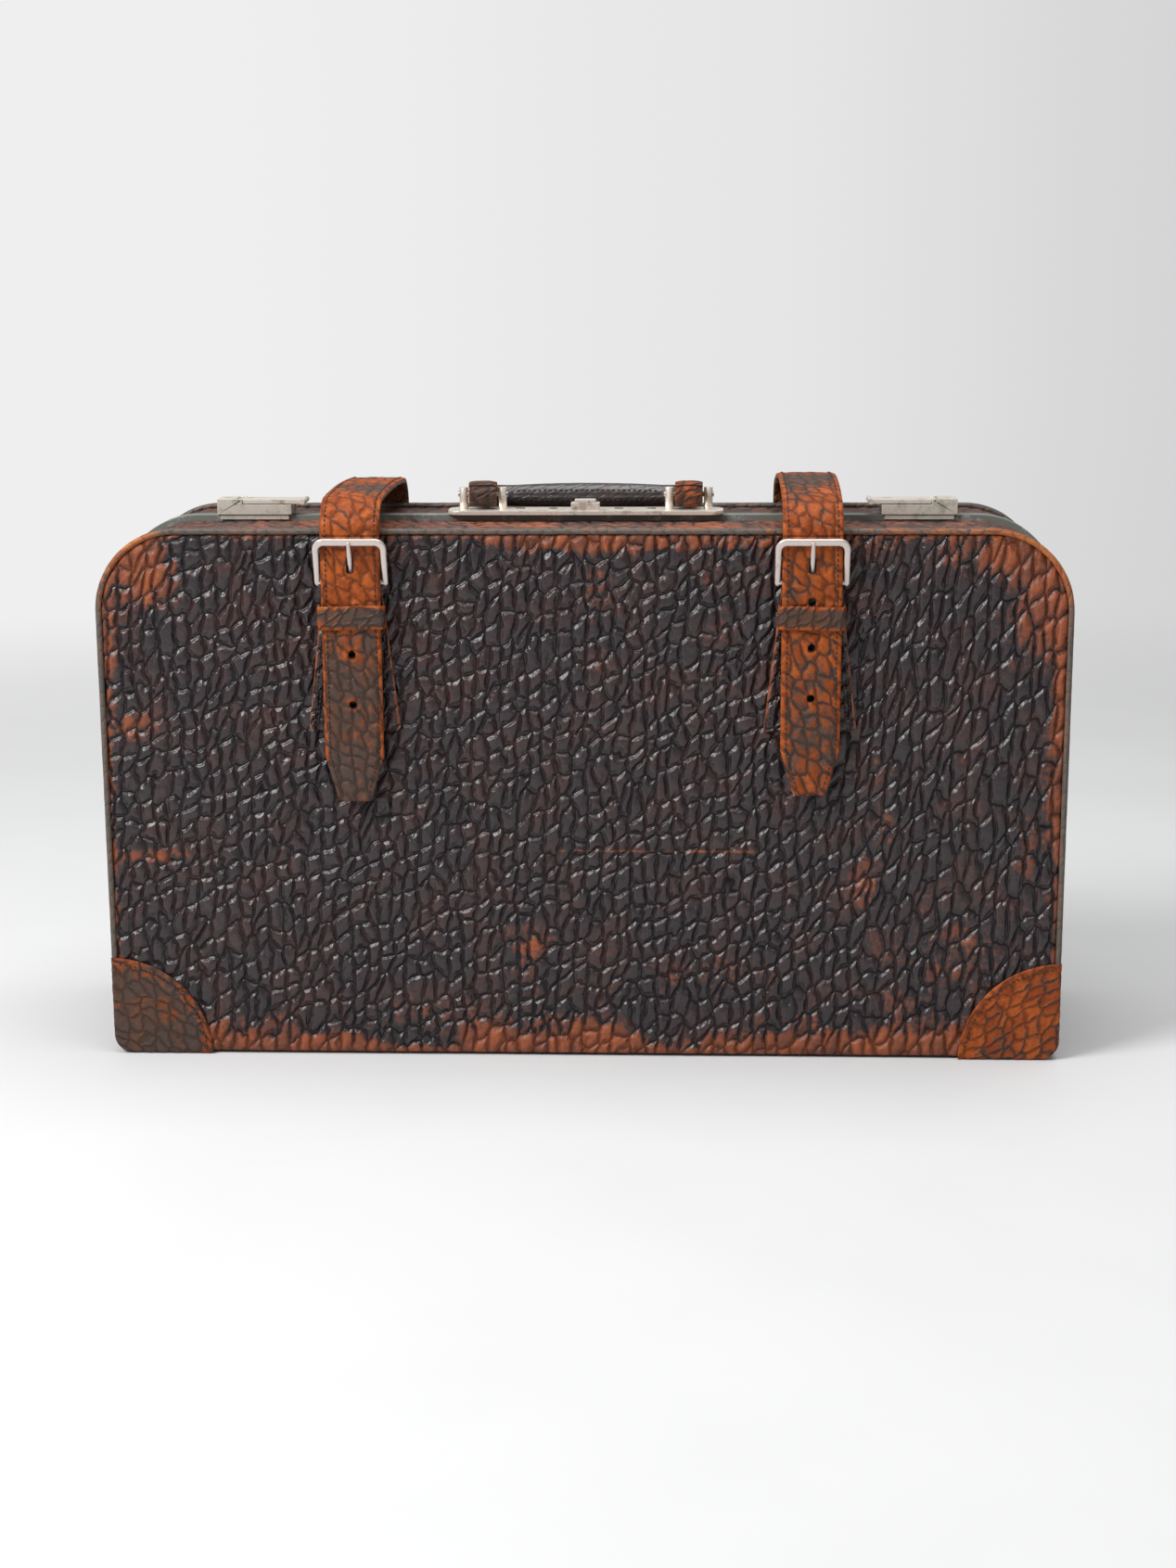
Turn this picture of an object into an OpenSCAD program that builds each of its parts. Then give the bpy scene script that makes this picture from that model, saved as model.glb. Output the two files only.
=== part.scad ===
// Frame-topped leather travelling bag of the Gladstone kind: two rigid half shells
// that are hinged along the bottom, a hinged handle, two lever latches, a slide lock
// and two buckled straps. Millimetres. +Z is up, -Y is the front, and the origin is
// at table level in the middle of the closed bag.

/* [Body] */
// Overall width across the welts
body_w = 630; // [560:1:700]
// Height from the table to the top of the welts
body_h = 353; // [310:1:390]
// Depth over the two leather panels
body_d = 165; // [150:1:190]
// Radius of the two top corners
corner_r = 54; // [40:1:70]
// Radius of the two bottom corners
foot_r = 12; // [8:1:16]
// Height of the bottom leather above the table
ground_gap = 2; // [1:0.5:3]

/* [Leather] */
// Thickness of the panel and gusset leather
hide_t = 3; // [2:0.5:4]
// Thickness of the stiffening boards
board_t = 3; // [2:0.5:4]
// Thickness of the cloth lining
lining_t = 1; // [0.5:0.1:1.5]
// Width of the welt, seen from the front
welt_w = 3.5; // [3:0.1:5]
// How far the welt stands proud of the gusset
welt_rise = 2.5; // [1.5:0.1:3]
// Radius of the leather corner patches
patch_r = 66; // [50:1:80]
// How far a corner patch wraps onto the side
patch_wrap = 30; // [20:1:45]
// Thickness of a corner patch on the panel
patch_t = 1.8; // [1:0.1:2.5]

/* [Frame and hinge] */
// How far the steel frame stands above the welt
frame_over = 1; // [0:0.5:4]
// Thickness of each frame bar, front to back
bar_t = 6; // [5:0.5:8]
// Gap between the two closed frame bars
mouth_gap = 0.3; // [0.2:0.1:0.6]
// Depth of the inner flange that the gusset is fixed to
flange_d = 8; // [5:1:12]
// Height of the bottom hinge axis
hinge_z = 5.5; // [5:0.1:6.5]
// Radius of a hinge eye
eye_r = 4.5; // [4:0.1:5]
// Radius of the hinge rivets
hinge_pin_r = 2; // [1.5:0.1:2.5]
// Half width of the flexible leather strip along the bottom
flex_half = 24; // [20:1:30]

/* [Handle] */
// Length of the nickel handle plate
plate_l = 184; // [175:1:200]
// Depth of the handle plate, front to back
plate_d = 28; // [24:1:32]
// Thickness of the handle plate
plate_t = 3; // [2:0.5:4]
// Height of a handle post
post_h = 14.6; // [13:0.1:18]
// Radius of a handle post
post_r = 2.9; // [2.5:0.1:3.5]
// Distance from the middle to the inner posts
post_inner = 56; // [50:1:60]
// Distance from the middle to the outer posts
post_outer = 82; // [78:1:86]
// Radius of a rolled leather end loop
loop_r = 9.3; // [8:0.1:9.6]
// Distance from the handle pins to the middle of the grip
reach = 40; // [34:1:50]
// Radius of the grip at its middle
grip_r = 8.6; // [7.5:0.1:9]
// Radius of the grip at its ends
grip_end_r = 7.2; // [6:0.1:7.4]
// Angle by which the folded handle lies below level
handle_droop = 7; // [3:1:9]

/* [Latches and lock] */
// Distance from the middle to a latch's inner end
latch_x = 197; // [190:1:205]
// Length of a latch base
latch_l = 50; // [45:1:55]
// Depth of a latch, front to back
latch_d = 22; // [18:1:24]
// Height of a latch base
latch_h = 7; // [6:0.5:8]
// Length of a latch lever beyond the base
lever_tip = 9; // [5:1:12]
// Width of the lock case
lock_w = 19; // [16:1:22]
// Travel of the lock slide
lock_travel = 4; // [2:0.5:5]

/* [Straps] */
// Width of a strap
strap_w = 38; // [32:1:42]
// Thickness of a strap
strap_t = 3.5; // [3:0.5:4]
// Distance from the middle of the bag to a strap's middle
strap_x = 147.5; // [130:0.5:165]
// Height of the top of the left strap's arch
left_apex = 373; // [366:1:395]
// Height of the top of the right strap's arch
right_apex = 379; // [366:1:395]
// Height of the left strap's tip
left_tip = 176; // [165:1:195]
// Height of the right strap's tip
right_tip = 181; // [165:1:195]
// Bend radius of a strap over the bag's edges
strap_bend = 22; // [20:1:26]

/* [Hidden] */
$fn = 64;
eps = 1;

// Colours
hide = [0.16, 0.13, 0.13];
tan_hide = [0.55, 0.27, 0.12];
welt_hide = [0.22, 0.21, 0.19];
top_hide = [0.33, 0.17, 0.11];
frame_paint = [0.33, 0.36, 0.32];
nickel = [0.74, 0.71, 0.66];
steel = [0.55, 0.55, 0.56];
board_tan = [0.62, 0.5, 0.36];
lining_cloth = [0.5, 0.4, 0.28];

// Depths, measured outwards from the mouth
half_d = body_d / 2;
panel_y = half_d - hide_t;
board_y = panel_y - board_t;
mouth_y = mouth_gap / 2;
flange_y = bar_t + flange_d;

// Insets from the outline over the welts
gusset_in = welt_rise;
inner_in = welt_rise + hide_t;
flange_in = inner_in + 2;
lining_in = inner_in + lining_t;

// Heights
bottom_top = ground_gap + 5;
side_foot = ground_gap + foot_r;
leg_foot = hinge_z + eye_r + 8;
frame_top = body_h + frame_over;
plate_top = frame_top + plate_t;
relief = 0.4;

// Bottom hinge, from the end of the bag inwards
leg_x = body_w / 2 + frame_over;
tab_t = 2.7;
rear_tab_x = leg_x - 5;
front_tab_x = rear_tab_x - mouth_gap - tab_t;
pin_play = 0.05;
rivet_head_t = 1.7;
rivet_head_r = 3.6;

// Handle
axis_y = 2;
axis_z = plate_top + 10;
plate_y = -13;
plate_r = 8;
handle_pin_r = 1.8;
handle_play = 0.07;
loop_x = (post_inner + post_outer) / 2;
loop_l = post_outer - post_inner - 2 * post_r - 1.8;
grip_bend = 18;
grip_half = loop_x - grip_bend;
grip_steps = 8;
core_r = 2.5;
rivet_r = 1.5;
plate_rivet_x = [-44, -22, 22, 44];

// Lock
lock_y = -12;
lock_d = 10;
lock_h = 5.3;
slide_half = 7;
slide_t = 1.8;
slide_gap = 0.3;
stem_half = 2;
lock_wall = 1.2;

// Latch, on the right of the bag
latch_y = -9;
latch_wall = 1.6;
lever_gap = 0.6;
lever_t = 2.4;
lever_z = frame_top + latch_h + lever_gap;
latch_block_l = 12;
latch_pin_r = 0.8;
latch_play = 0.06;
knuckle_r = 1.45;
latch_pin_x = latch_x + latch_l - latch_block_l - 2.7;
latch_pin_z = lever_z + 1.4;
ear_t = 1.9;
curl_r = 1.8;
claw_x = latch_x + 6;
claw_w = 4;
claw_d = 8;

// Strap runs and what holds them
strap_front_y = -(half_d + 5.5 + strap_t / 2);
strap_rear_y = half_d + 0.5 + strap_t / 2;
strap_mid_y = (strap_front_y + strap_rear_y) / 2;
strap_half_top = (strap_rear_y - strap_front_y) / 2 - strap_bend;
strap_bend_z = body_h - 4;
strap_steps = 16;
strap_end_z = 180;
taper_h = 30;
tip_half = 10.5;
hole_r = 2.3;
hole_up = [64, 97, 126];
prong_slot_z = 329;
prong_slot_h = 16;
prong_slot_r = 2.4;

chape_t = 2;
chape_z = 222;
chape_foot = 60;
chape_top = 37;
buckle_z = 319;
buckle_y = -(half_d + chape_t + 0.7);
buckle_bar_r = 1.6;
buckle_play = 0.07;
chape_loop_r = 2.6;
chape_loop_half = 18.8;
prong_gap = 2.6;

buckle_half = 23.7;
buckle_inner = 19.9;
buckle_l = 30.5;
buckle_bar = 4.6;
buckle_t = 3;
buckle_tilt = 18;
buckle_r = 5;
prong_r = 1.3;
prong_root_r = 2.7;
prong_half = 2.2;
prong_lift = 6.5;

keeper_z = 289.5;
keeper_h = 15;
keeper_half = 22;
keeper_t = 2.2;
keeper_front = strap_front_y - strap_t / 2 - 0.8;

anchor_z = 172;
anchor_h = 64;
anchor_foot = 60;
anchor_top = 44;
anchor_t = 2;
anchor_y = strap_rear_y + strap_t / 2 + 0.4;
anchor_rivet_z = [188, 222];
anchor_rivet_r = 4;
anchor_rivet_h = 4;

// ---------------------------------------------------------------- helpers

// Outline of the bag, drawn in X and Z: round top corners, tighter bottom corners
module outline(inset, floor) {
    half_w = body_w / 2 - inset;
    top = body_h - inset;
    top_r = corner_r - inset;
    low_r = foot_r - inset;
    translate([-half_w, floor + low_r]) square([2 * half_w, top - top_r - floor - low_r]);
    translate([top_r - half_w, top - top_r]) square([2 * (half_w - top_r), top_r]);
    translate([low_r - half_w, floor]) square([2 * (half_w - low_r), low_r]);
    for (side = [-1, 1]) {
        translate([side * (half_w - top_r), top - top_r]) circle(top_r, $fn = 128);
        translate([side * (half_w - low_r), floor + low_r]) circle(low_r);
    }
}

// The outline as a slab between two depths
module slab(y0, y1, inset, floor) {
    translate([0, y1, 0]) rotate([90, 0, 0]) linear_extrude(y1 - y0) outline(inset, floor);
}

// A band between two insets of the outline, open below the height foot
module band(y0, y1, outer, inner, foot) {
    difference() {
        slab(y0, y1, outer, ground_gap);
        slab(y0 - eps, y1 + eps, inner, ground_gap - eps);
        translate([-body_w, y0 - eps, -eps]) cube([2 * body_w, y1 - y0 + 2 * eps, foot + eps]);
    }
}

module front() { mirror([0, 1, 0]) children(); }
module left() { mirror([1, 0, 0]) children(); }

// A cylinder along X, from x0 to x1
module rod_x(x0, x1, r, y, z) {
    translate([x0, y, z]) rotate([0, 90, 0]) cylinder(h = x1 - x0, r = r);
}

// A cylinder along Y, from y0 to y1
module rod_y(y0, y1, r, x, z) {
    translate([x, y1, z]) rotate([90, 0, 0]) cylinder(h = y1 - y0, r = r);
}

// A block given by its low and high corners
module block(low, high) {
    translate(low) cube(high - low);
}

// A flat four-sided patch, drawn in X and Z, foot_w wide below and top_w wide above
module shield(z0, z1, foot_w, top_w) {
    polygon([[-foot_w / 2, z0], [foot_w / 2, z0], [top_w / 2, z1], [-top_w / 2, z1]]);
}

module rounded_plate(x0, x1, y0, y1, r) {
    translate([x0 + r, y0]) square([x1 - x0 - 2 * r, y1 - y0]);
    translate([x0, y0 + r]) square([x1 - x0, y1 - y0 - 2 * r]);
    for (x = [x0 + r, x1 - r], y = [y0 + r, y1 - r]) translate([x, y]) circle(r);
}

// ---------------------------------------------------------------- half shells

module panel() { color(hide) slab(panel_y, half_d, welt_w, ground_gap); }

module board() { color(board_tan) slab(board_y, panel_y, inner_in, bottom_top); }

module gusset() { color(top_hide) band(bar_t, panel_y, gusset_in, inner_in, side_foot); }

module welt() { color(welt_hide) band(panel_y, half_d, 0, welt_w, side_foot); }

module bottom() {
    color(hide) difference() {
        slab(flex_half, panel_y, gusset_in, ground_gap);
        slab(flex_half - eps, panel_y + eps, inner_in, bottom_top);
        translate([-body_w, 0, side_foot]) cube([2 * body_w, body_d, body_h]);
    }
}

module lining() {
    color(lining_cloth) difference() {
        slab(flange_y, board_y, inner_in, bottom_top);
        slab(0, board_y - lining_t, lining_in, bottom_top + lining_t);
        translate([-body_w, 0, 0]) cube([2 * body_w, flex_half, side_foot]);
    }
}

// Steel frame of one half: a bar round the mouth with an inner flange
module frame_bar() {
    band(mouth_y, bar_t, -frame_over, flange_in, leg_foot);
    band(bar_t, flange_y, inner_in, flange_in, leg_foot);
}

// Hinge eye at the foot of a frame leg, from x0 outwards
module hinge_eye(x0) {
    difference() {
        union() {
            rod_x(x0, x0 + tab_t, eye_r, 0, hinge_z);
            block([x0, mouth_y, hinge_z], [x0 + tab_t, eye_r, leg_foot + eps]);
        }
        rod_x(x0 - eps, x0 + tab_t + eps, hinge_pin_r + pin_play, 0, hinge_z);
    }
}

module frame_half(tab_x) {
    color(frame_paint) {
        frame_bar();
        hinge_eye(tab_x);
        left() hinge_eye(tab_x);
    }
}

// Leather patch over one bottom corner, wrapped onto the side and the bottom
module corner_patch() {
    color(tan_hide) intersection() {
        difference() {
            slab(half_d - patch_wrap, half_d + patch_t, -0.8, 0);
            slab(0, panel_y, gusset_in, ground_gap);
            slab(panel_y, half_d, 0, ground_gap);
        }
        rod_y(0, body_d, patch_r, body_w / 2, 0);
    }
}

// ---------------------------------------------------------------- bottom hinge

module bottom_hinge() {
    half_l = front_tab_x - 6;
    color(hide) block([-half_l, -flex_half + relief, ground_gap + 0.2],
                      [half_l, flex_half - relief, ground_gap + 2.2]);
}

module hinge_rivet() {
    inner_x = front_tab_x - mouth_gap;
    outer_x = rear_tab_x + tab_t + mouth_gap;
    rod_x(inner_x, outer_x, hinge_pin_r, 0, hinge_z);
    rod_x(inner_x - rivet_head_t, inner_x, rivet_head_r, 0, hinge_z);
    rod_x(outer_x, outer_x + rivet_head_t, rivet_head_r, 0, hinge_z);
}

module hinge_rivets() {
    color(steel) {
        hinge_rivet();
        left() hinge_rivet();
    }
}

// ---------------------------------------------------------------- handle

module handle_plate() {
    color(nickel) difference() {
        translate([0, 0, frame_top]) linear_extrude(plate_t)
            rounded_plate(-plate_l / 2, plate_l / 2, plate_y, plate_y + plate_d, plate_r);
        block([-plate_l, plate_y - eps, frame_top - eps], [plate_l, mouth_y, frame_top + relief]);
        for (x = plate_rivet_x) translate([x, bar_t / 2 + mouth_y, frame_top - eps])
            cylinder(h = plate_t + 2 * eps, r = rivet_r);
    }
}

module plate_rivets() {
    color(steel) for (x = plate_rivet_x) translate([x, bar_t / 2 + mouth_y, frame_top]) {
        cylinder(h = plate_t, r = rivet_r);
        translate([0, 0, plate_t]) cylinder(h = 0.6, r = 2 * rivet_r);
    }
}

module handle_posts() {
    color(nickel) for (side = [-1, 1], x = [post_inner, post_outer]) difference() {
        translate([side * x, axis_y, plate_top]) cylinder(h = post_h, r = post_r);
        rod_x(side * x - 2 * post_r, side * x + 2 * post_r, handle_pin_r, axis_y, axis_z);
    }
}

module handle_pin() {
    rod_x(post_inner - post_r - 0.8, post_outer + post_r + 0.8, handle_pin_r, axis_y, axis_z);
}

module handle_pins() {
    color(steel) {
        handle_pin();
        left() handle_pin();
    }
}

// Handle parts are drawn lying level towards the rear, then droop about the pins
module drooped() {
    translate([0, axis_y, axis_z]) rotate([-handle_droop, 0, 0]) children();
}

module handle_loop() {
    color(tan_hide) drooped() difference() {
        rod_x(loop_x - loop_l / 2, loop_x + loop_l / 2, loop_r, 0, 0);
        rod_x(loop_x - loop_l, loop_x + loop_l, handle_pin_r + handle_play, 0, 0);
    }
}

// Radius of the grip along its length: a gentle barrel
function barrel_r(t) = grip_end_r + (grip_r - grip_end_r) * (1 - t * t);

module grip_barrel() {
    steps = [for (i = [-grip_steps : grip_steps]) i / grip_steps];
    rotate([0, 90, 0]) rotate_extrude() polygon(concat(
        [[0, -grip_half]],
        [for (t = steps) [barrel_r(t), t * grip_half]],
        [[0, grip_half]]));
}

// Bend and leg from one end of the grip to its end loop
module grip_leg() {
    leg_y = reach - grip_bend;
    translate([grip_half, leg_y, 0]) rotate_extrude(angle = 90)
        translate([grip_bend, 0]) circle(grip_end_r);
    difference() {
        rod_y(loop_r / 2, leg_y, grip_end_r, loop_x, 0);
        rod_x(loop_x - loop_l, loop_x + loop_l, loop_r, 0, 0);
    }
}

module handle_grip() {
    color(hide) drooped() {
        difference() {
            translate([0, reach, 0]) grip_barrel();
            rod_x(-grip_half, grip_half, core_r, reach, 0);
        }
        grip_leg();
        left() grip_leg();
    }
}

module handle_core() {
    color(steel) drooped() rod_x(-grip_half, grip_half, core_r, reach, 0);
}

// ---------------------------------------------------------------- lock

module lock_case() {
    slide_y = lock_y + lock_d / 2;
    color(nickel) difference() {
        block([-lock_w / 2, lock_y, plate_top], [lock_w / 2, lock_y + lock_d, plate_top + lock_h]);
        block([-stem_half - slide_gap, slide_y - lock_wall, plate_top + lock_wall],
              [stem_half + lock_travel + slide_gap, slide_y + lock_wall, plate_top + lock_h + eps]);
    }
}

module lock_slide() {
    slide_y = lock_y + lock_d / 2;
    slide_z = plate_top + lock_h + slide_gap;
    color(nickel) {
        block([-slide_half, lock_y + 0.5, slide_z],
              [slide_half, lock_y + lock_d - 0.5, slide_z + slide_t]);
        block([-stem_half, slide_y - lock_wall + slide_gap, plate_top + lock_wall + slide_gap],
              [stem_half, slide_y + lock_wall - slide_gap, slide_z]);
    }
}

// Hook plate under the front frame, for the lock
module lock_catch() {
    hook_z = body_h - flange_in;
    color(steel) block([-8, -bar_t + 1, hook_z - 6], [8, -mouth_y - 1, hook_z]);
}

// ---------------------------------------------------------------- latches

// Pressed base on the rear frame that reaches over the front frame
module latch_base() {
    end_x = latch_x + latch_l;
    end_y = latch_y + latch_d;
    top_z = frame_top + latch_h;
    block_x = end_x - latch_block_l;
    color(nickel) difference() {
        union() {
            block([latch_x, latch_y, frame_top], [end_x, end_y, top_z]);
            block([block_x, latch_y, top_z], [end_x, end_y, lever_z + lever_t + 0.6]);
            for (y = [latch_y, end_y - ear_t])
                block([latch_pin_x - 2.2, y, top_z], [block_x, y + ear_t, lever_z + lever_t + 0.6]);
        }
        block([latch_x + latch_wall, latch_y + latch_wall, frame_top - eps],
              [end_x - latch_wall, end_y - latch_wall, top_z - latch_wall]);
        block([latch_x - eps, latch_y - eps, frame_top - eps],
              [end_x + eps, mouth_y, frame_top + relief]);
        block([claw_x - 3, latch_y + 5, frame_top], [claw_x + claw_w + 3, latch_y + 17, top_z + eps]);
        rod_y(latch_y - eps, end_y + eps, latch_pin_r, latch_pin_x, latch_pin_z);
    }
}

module latch_pin() {
    color(steel) rod_y(latch_y + 0.2, latch_y + latch_d - 0.2, latch_pin_r, latch_pin_x, latch_pin_z);
}

// Lever with a curled finger tip, a hinge knuckle and a claw that reaches into the base
module latch_lever() {
    tip_x = latch_x - lever_tip;
    y0 = latch_y + ear_t + slide_gap;
    y1 = latch_y + latch_d - ear_t - slide_gap;
    color(nickel) difference() {
        union() {
            block([tip_x + curl_r, latch_y, lever_z],
                  [latch_pin_x - 2.8, latch_y + latch_d, lever_z + lever_t]);
            block([latch_pin_x - 4, y0, lever_z], [latch_pin_x, y1, lever_z + lever_t]);
            rod_y(latch_y, latch_y + latch_d, curl_r, tip_x + curl_r, lever_z + lever_t - curl_r + 0.6);
            rod_y(y0, y1, knuckle_r, latch_pin_x, latch_pin_z);
            block([claw_x, latch_y + 7, frame_top + 2], [claw_x + claw_w, latch_y + 7 + claw_d, lever_z]);
        }
        rod_y(y0 - eps, y1 + eps, latch_pin_r + latch_play, latch_pin_x, latch_pin_z);
    }
}

// Catch plate on the face of the front frame, under a latch
module catch() {
    color(nickel) block([latch_x + 2, -bar_t - 2, body_h - gusset_in + relief],
                        [latch_x + latch_l - 2, -bar_t, frame_top]);
}

// ---------------------------------------------------------------- straps

// Half the angle that the flat top arc of a strap spans, and that arc's radius
function top_angle(apex) = 2 * atan((apex - strap_bend_z - strap_bend) / strap_half_top);
function top_radius(apex) = strap_bend + strap_half_top / sin(top_angle(apex));

// Points of an arc in Y and Z, without its two ends if open is true
function arc(y, z, r, from, to, open = false) = [
    for (i = [(open ? 1 : 0) : strap_steps - (open ? 1 : 0)])
        let (a = from + (to - from) * i / strap_steps)
        [y + r * cos(a), z + r * sin(a)]
];

// One face of a strap in Y and Z, off its middle line by the distance off
function strap_face(apex, off) =
    let (angle = top_angle(apex), radius = top_radius(apex))
    concat(
        [[strap_rear_y + off, strap_end_z]],
        arc(strap_mid_y + strap_half_top, strap_bend_z, strap_bend + off, 0, 90 - angle),
        arc(strap_mid_y, apex - radius, radius + off, 90 - angle, 90 + angle, open = true),
        arc(strap_mid_y - strap_half_top, strap_bend_z, strap_bend + off, 90 + angle, 180));

// Strap from its sewn end on the rear panel, up and over the top to the front edge
module strap(apex) {
    inner = strap_face(apex, -strap_t / 2);
    color(tan_hide) translate([-strap_w / 2, 0, 0]) rotate([90, 0, 90]) linear_extrude(strap_w)
        polygon(concat(strap_face(apex, strap_t / 2),
                       [for (i = [len(inner) - 1 : -1 : 0]) inner[i]]));
}

// Pointed tail that hangs down the front, with its row of holes
module strap_tail(tip) {
    half_w = strap_w / 2;
    color(tan_hide) difference() {
        translate([0, strap_front_y + strap_t / 2, 0]) rotate([90, 0, 0]) linear_extrude(strap_t)
            polygon([[-half_w, strap_bend_z], [-half_w, tip + taper_h], [-tip_half, tip],
                     [tip_half, tip], [half_w, tip + taper_h], [half_w, strap_bend_z]]);
        for (up = hole_up) rod_y(-body_d, 0, hole_r, 0, tip + up);
        for (end = [-1, 1]) rod_y(-body_d, 0, prong_slot_r, 0,
                                  prong_slot_z + end * (prong_slot_h / 2 - prong_slot_r));
        block([-prong_slot_r, -body_d, prong_slot_z - prong_slot_h / 2 + prong_slot_r],
              [prong_slot_r, 0, prong_slot_z + prong_slot_h / 2 - prong_slot_r]);
    }
}

module at_left() { translate([-strap_x, 0, 0]) children(); }
module at_right() { translate([strap_x, 0, 0]) children(); }

// Leather pocket that is sewn over the strap's rear end
module strap_anchor() {
    color(tan_hide) difference() {
        translate([0, anchor_y + anchor_t, 0]) rotate([90, 0, 0])
            linear_extrude(anchor_y + anchor_t - half_d)
            shield(anchor_z, anchor_z + anchor_h, anchor_foot, anchor_top);
        block([-strap_w / 2 - relief, 0, strap_end_z - relief],
              [strap_w / 2 + relief, anchor_y, body_h]);
        for (z = anchor_rivet_z) rod_y(anchor_y - eps, body_d, rivet_r, 0, z);
    }
}

module anchor_rivets() {
    color(nickel) for (x = [-strap_x, strap_x], z = anchor_rivet_z) {
        rod_y(anchor_y, anchor_y + anchor_t, rivet_r, x, z);
        rod_y(anchor_y + anchor_t, anchor_y + anchor_t + anchor_rivet_h, anchor_rivet_r, x, z);
    }
}

// Flared leather patch on the front panel that loops round the buckle's hinge bar
module chape() {
    loop_y = -half_d - chape_t;
    color(hide) difference() {
        union() {
            translate([0, -half_d, 0]) rotate([90, 0, 0]) linear_extrude(chape_t)
                shield(chape_z, buckle_z, chape_foot, chape_top);
            rod_x(-chape_loop_half, chape_loop_half, chape_loop_r, buckle_y, buckle_z);
            block([-chape_loop_half, loop_y - 0.4, buckle_z - 3], [chape_loop_half, loop_y + 0.4, buckle_z]);
        }
        rod_x(-body_w, body_w, buckle_bar_r + buckle_play, buckle_y, buckle_z);
        block([-prong_gap, -body_d, buckle_z - 4], [prong_gap, -half_d, buckle_z + 4]);
        block([-body_w, -half_d, 0], [body_w, 0, body_h]);
    }
}

// Fixed leather keeper that bridges the strap
module keeper() {
    inner_half = strap_w / 2 + 0.6;
    color(tan_hide) difference() {
        block([-keeper_half, keeper_front - keeper_t, keeper_z],
              [keeper_half, -half_d - chape_t, keeper_z + keeper_h]);
        block([-inner_half, keeper_front, keeper_z - eps], [inner_half, 0, keeper_z + keeper_h + eps]);
    }
}

// Buckle parts are drawn upright in X and Z about the hinge bar, then lean outwards
module leaned() {
    translate([0, buckle_y, buckle_z]) rotate([buckle_tilt, 0, 0]) children();
}

module buckle() {
    color(nickel) leaned() {
        translate([0, buckle_t / 2, 0]) rotate([90, 0, 0]) linear_extrude(buckle_t) difference() {
            rounded_plate(-buckle_half, buckle_half, -buckle_bar / 2, buckle_l, buckle_r);
            rounded_plate(-buckle_inner, buckle_inner, -body_d, buckle_l - buckle_bar, 2);
        }
        rod_x(-buckle_inner - eps, buckle_inner + eps, buckle_bar_r, 0, 0);
    }
}

// Prong that turns on the hinge bar, passes the strap's hole and rests on the top bar
module prong() {
    color(nickel) leaned() rotate([prong_lift, 0, 0]) difference() {
        union() {
            rod_x(-prong_half, prong_half, prong_root_r, 0, 0);
            translate([0, 0, 1]) cylinder(h = buckle_l, r = prong_r);
        }
        rod_x(-body_w, body_w, buckle_bar_r + buckle_play, 0, 0);
    }
}

// ---------------------------------------------------------------- nodes

panel();  // rear_panel
board();  // rear_board
gusset();  // rear_gusset
bottom();  // rear_bottom
welt();  // rear_welt
lining();  // rear_lining
frame_half(rear_tab_x);  // rear_frame
left() corner_patch();  // rear_corner_left
corner_patch();  // rear_corner_right
bottom_hinge();
hinge_rivets();
handle_plate();
handle_posts();
handle_pins();
plate_rivets();
lock_case();
left() latch_base();  // left_latch_base
latch_base();  // right_latch_base
left() latch_pin();  // left_latch_pin
latch_pin();  // right_latch_pin
at_left() strap_anchor();  // left_strap_anchor
at_right() strap_anchor();  // right_strap_anchor
anchor_rivets();
front() panel();  // front_panel
front() board();  // front_board
front() gusset();  // front_gusset
front() bottom();  // front_bottom
front() welt();  // front_welt
front() lining();  // front_lining
front() frame_half(front_tab_x);  // front_frame
front() left() corner_patch();  // front_corner_left
front() corner_patch();  // front_corner_right
at_left() chape();  // left_chape
at_right() chape();  // right_chape
at_left() keeper();  // left_keeper
at_right() keeper();  // right_keeper
left() catch();  // left_catch
catch();  // right_catch
lock_catch();
handle_grip();
handle_core();
left() handle_loop();  // left_handle_loop
handle_loop();  // right_handle_loop
left() latch_lever();  // left_latch_lever
latch_lever();  // right_latch_lever
lock_slide();
at_left() strap(left_apex);  // left_strap
at_left() strap_tail(left_tip);  // left_strap_tail
at_right() strap(right_apex);  // right_strap
at_right() strap_tail(right_tip);  // right_strap_tail
at_left() buckle();  // left_buckle
at_right() buckle();  // right_buckle
at_left() prong();  // left_prong
at_right() prong();  // right_prong
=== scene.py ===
"""Looks of a frame-topped leather travelling bag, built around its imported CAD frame.

Shapes are worked out in millimetres and become metres where a mesh is made.
"""
import math

import bmesh
import bpy
import numpy as np
from mathutils import Matrix, Vector

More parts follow.
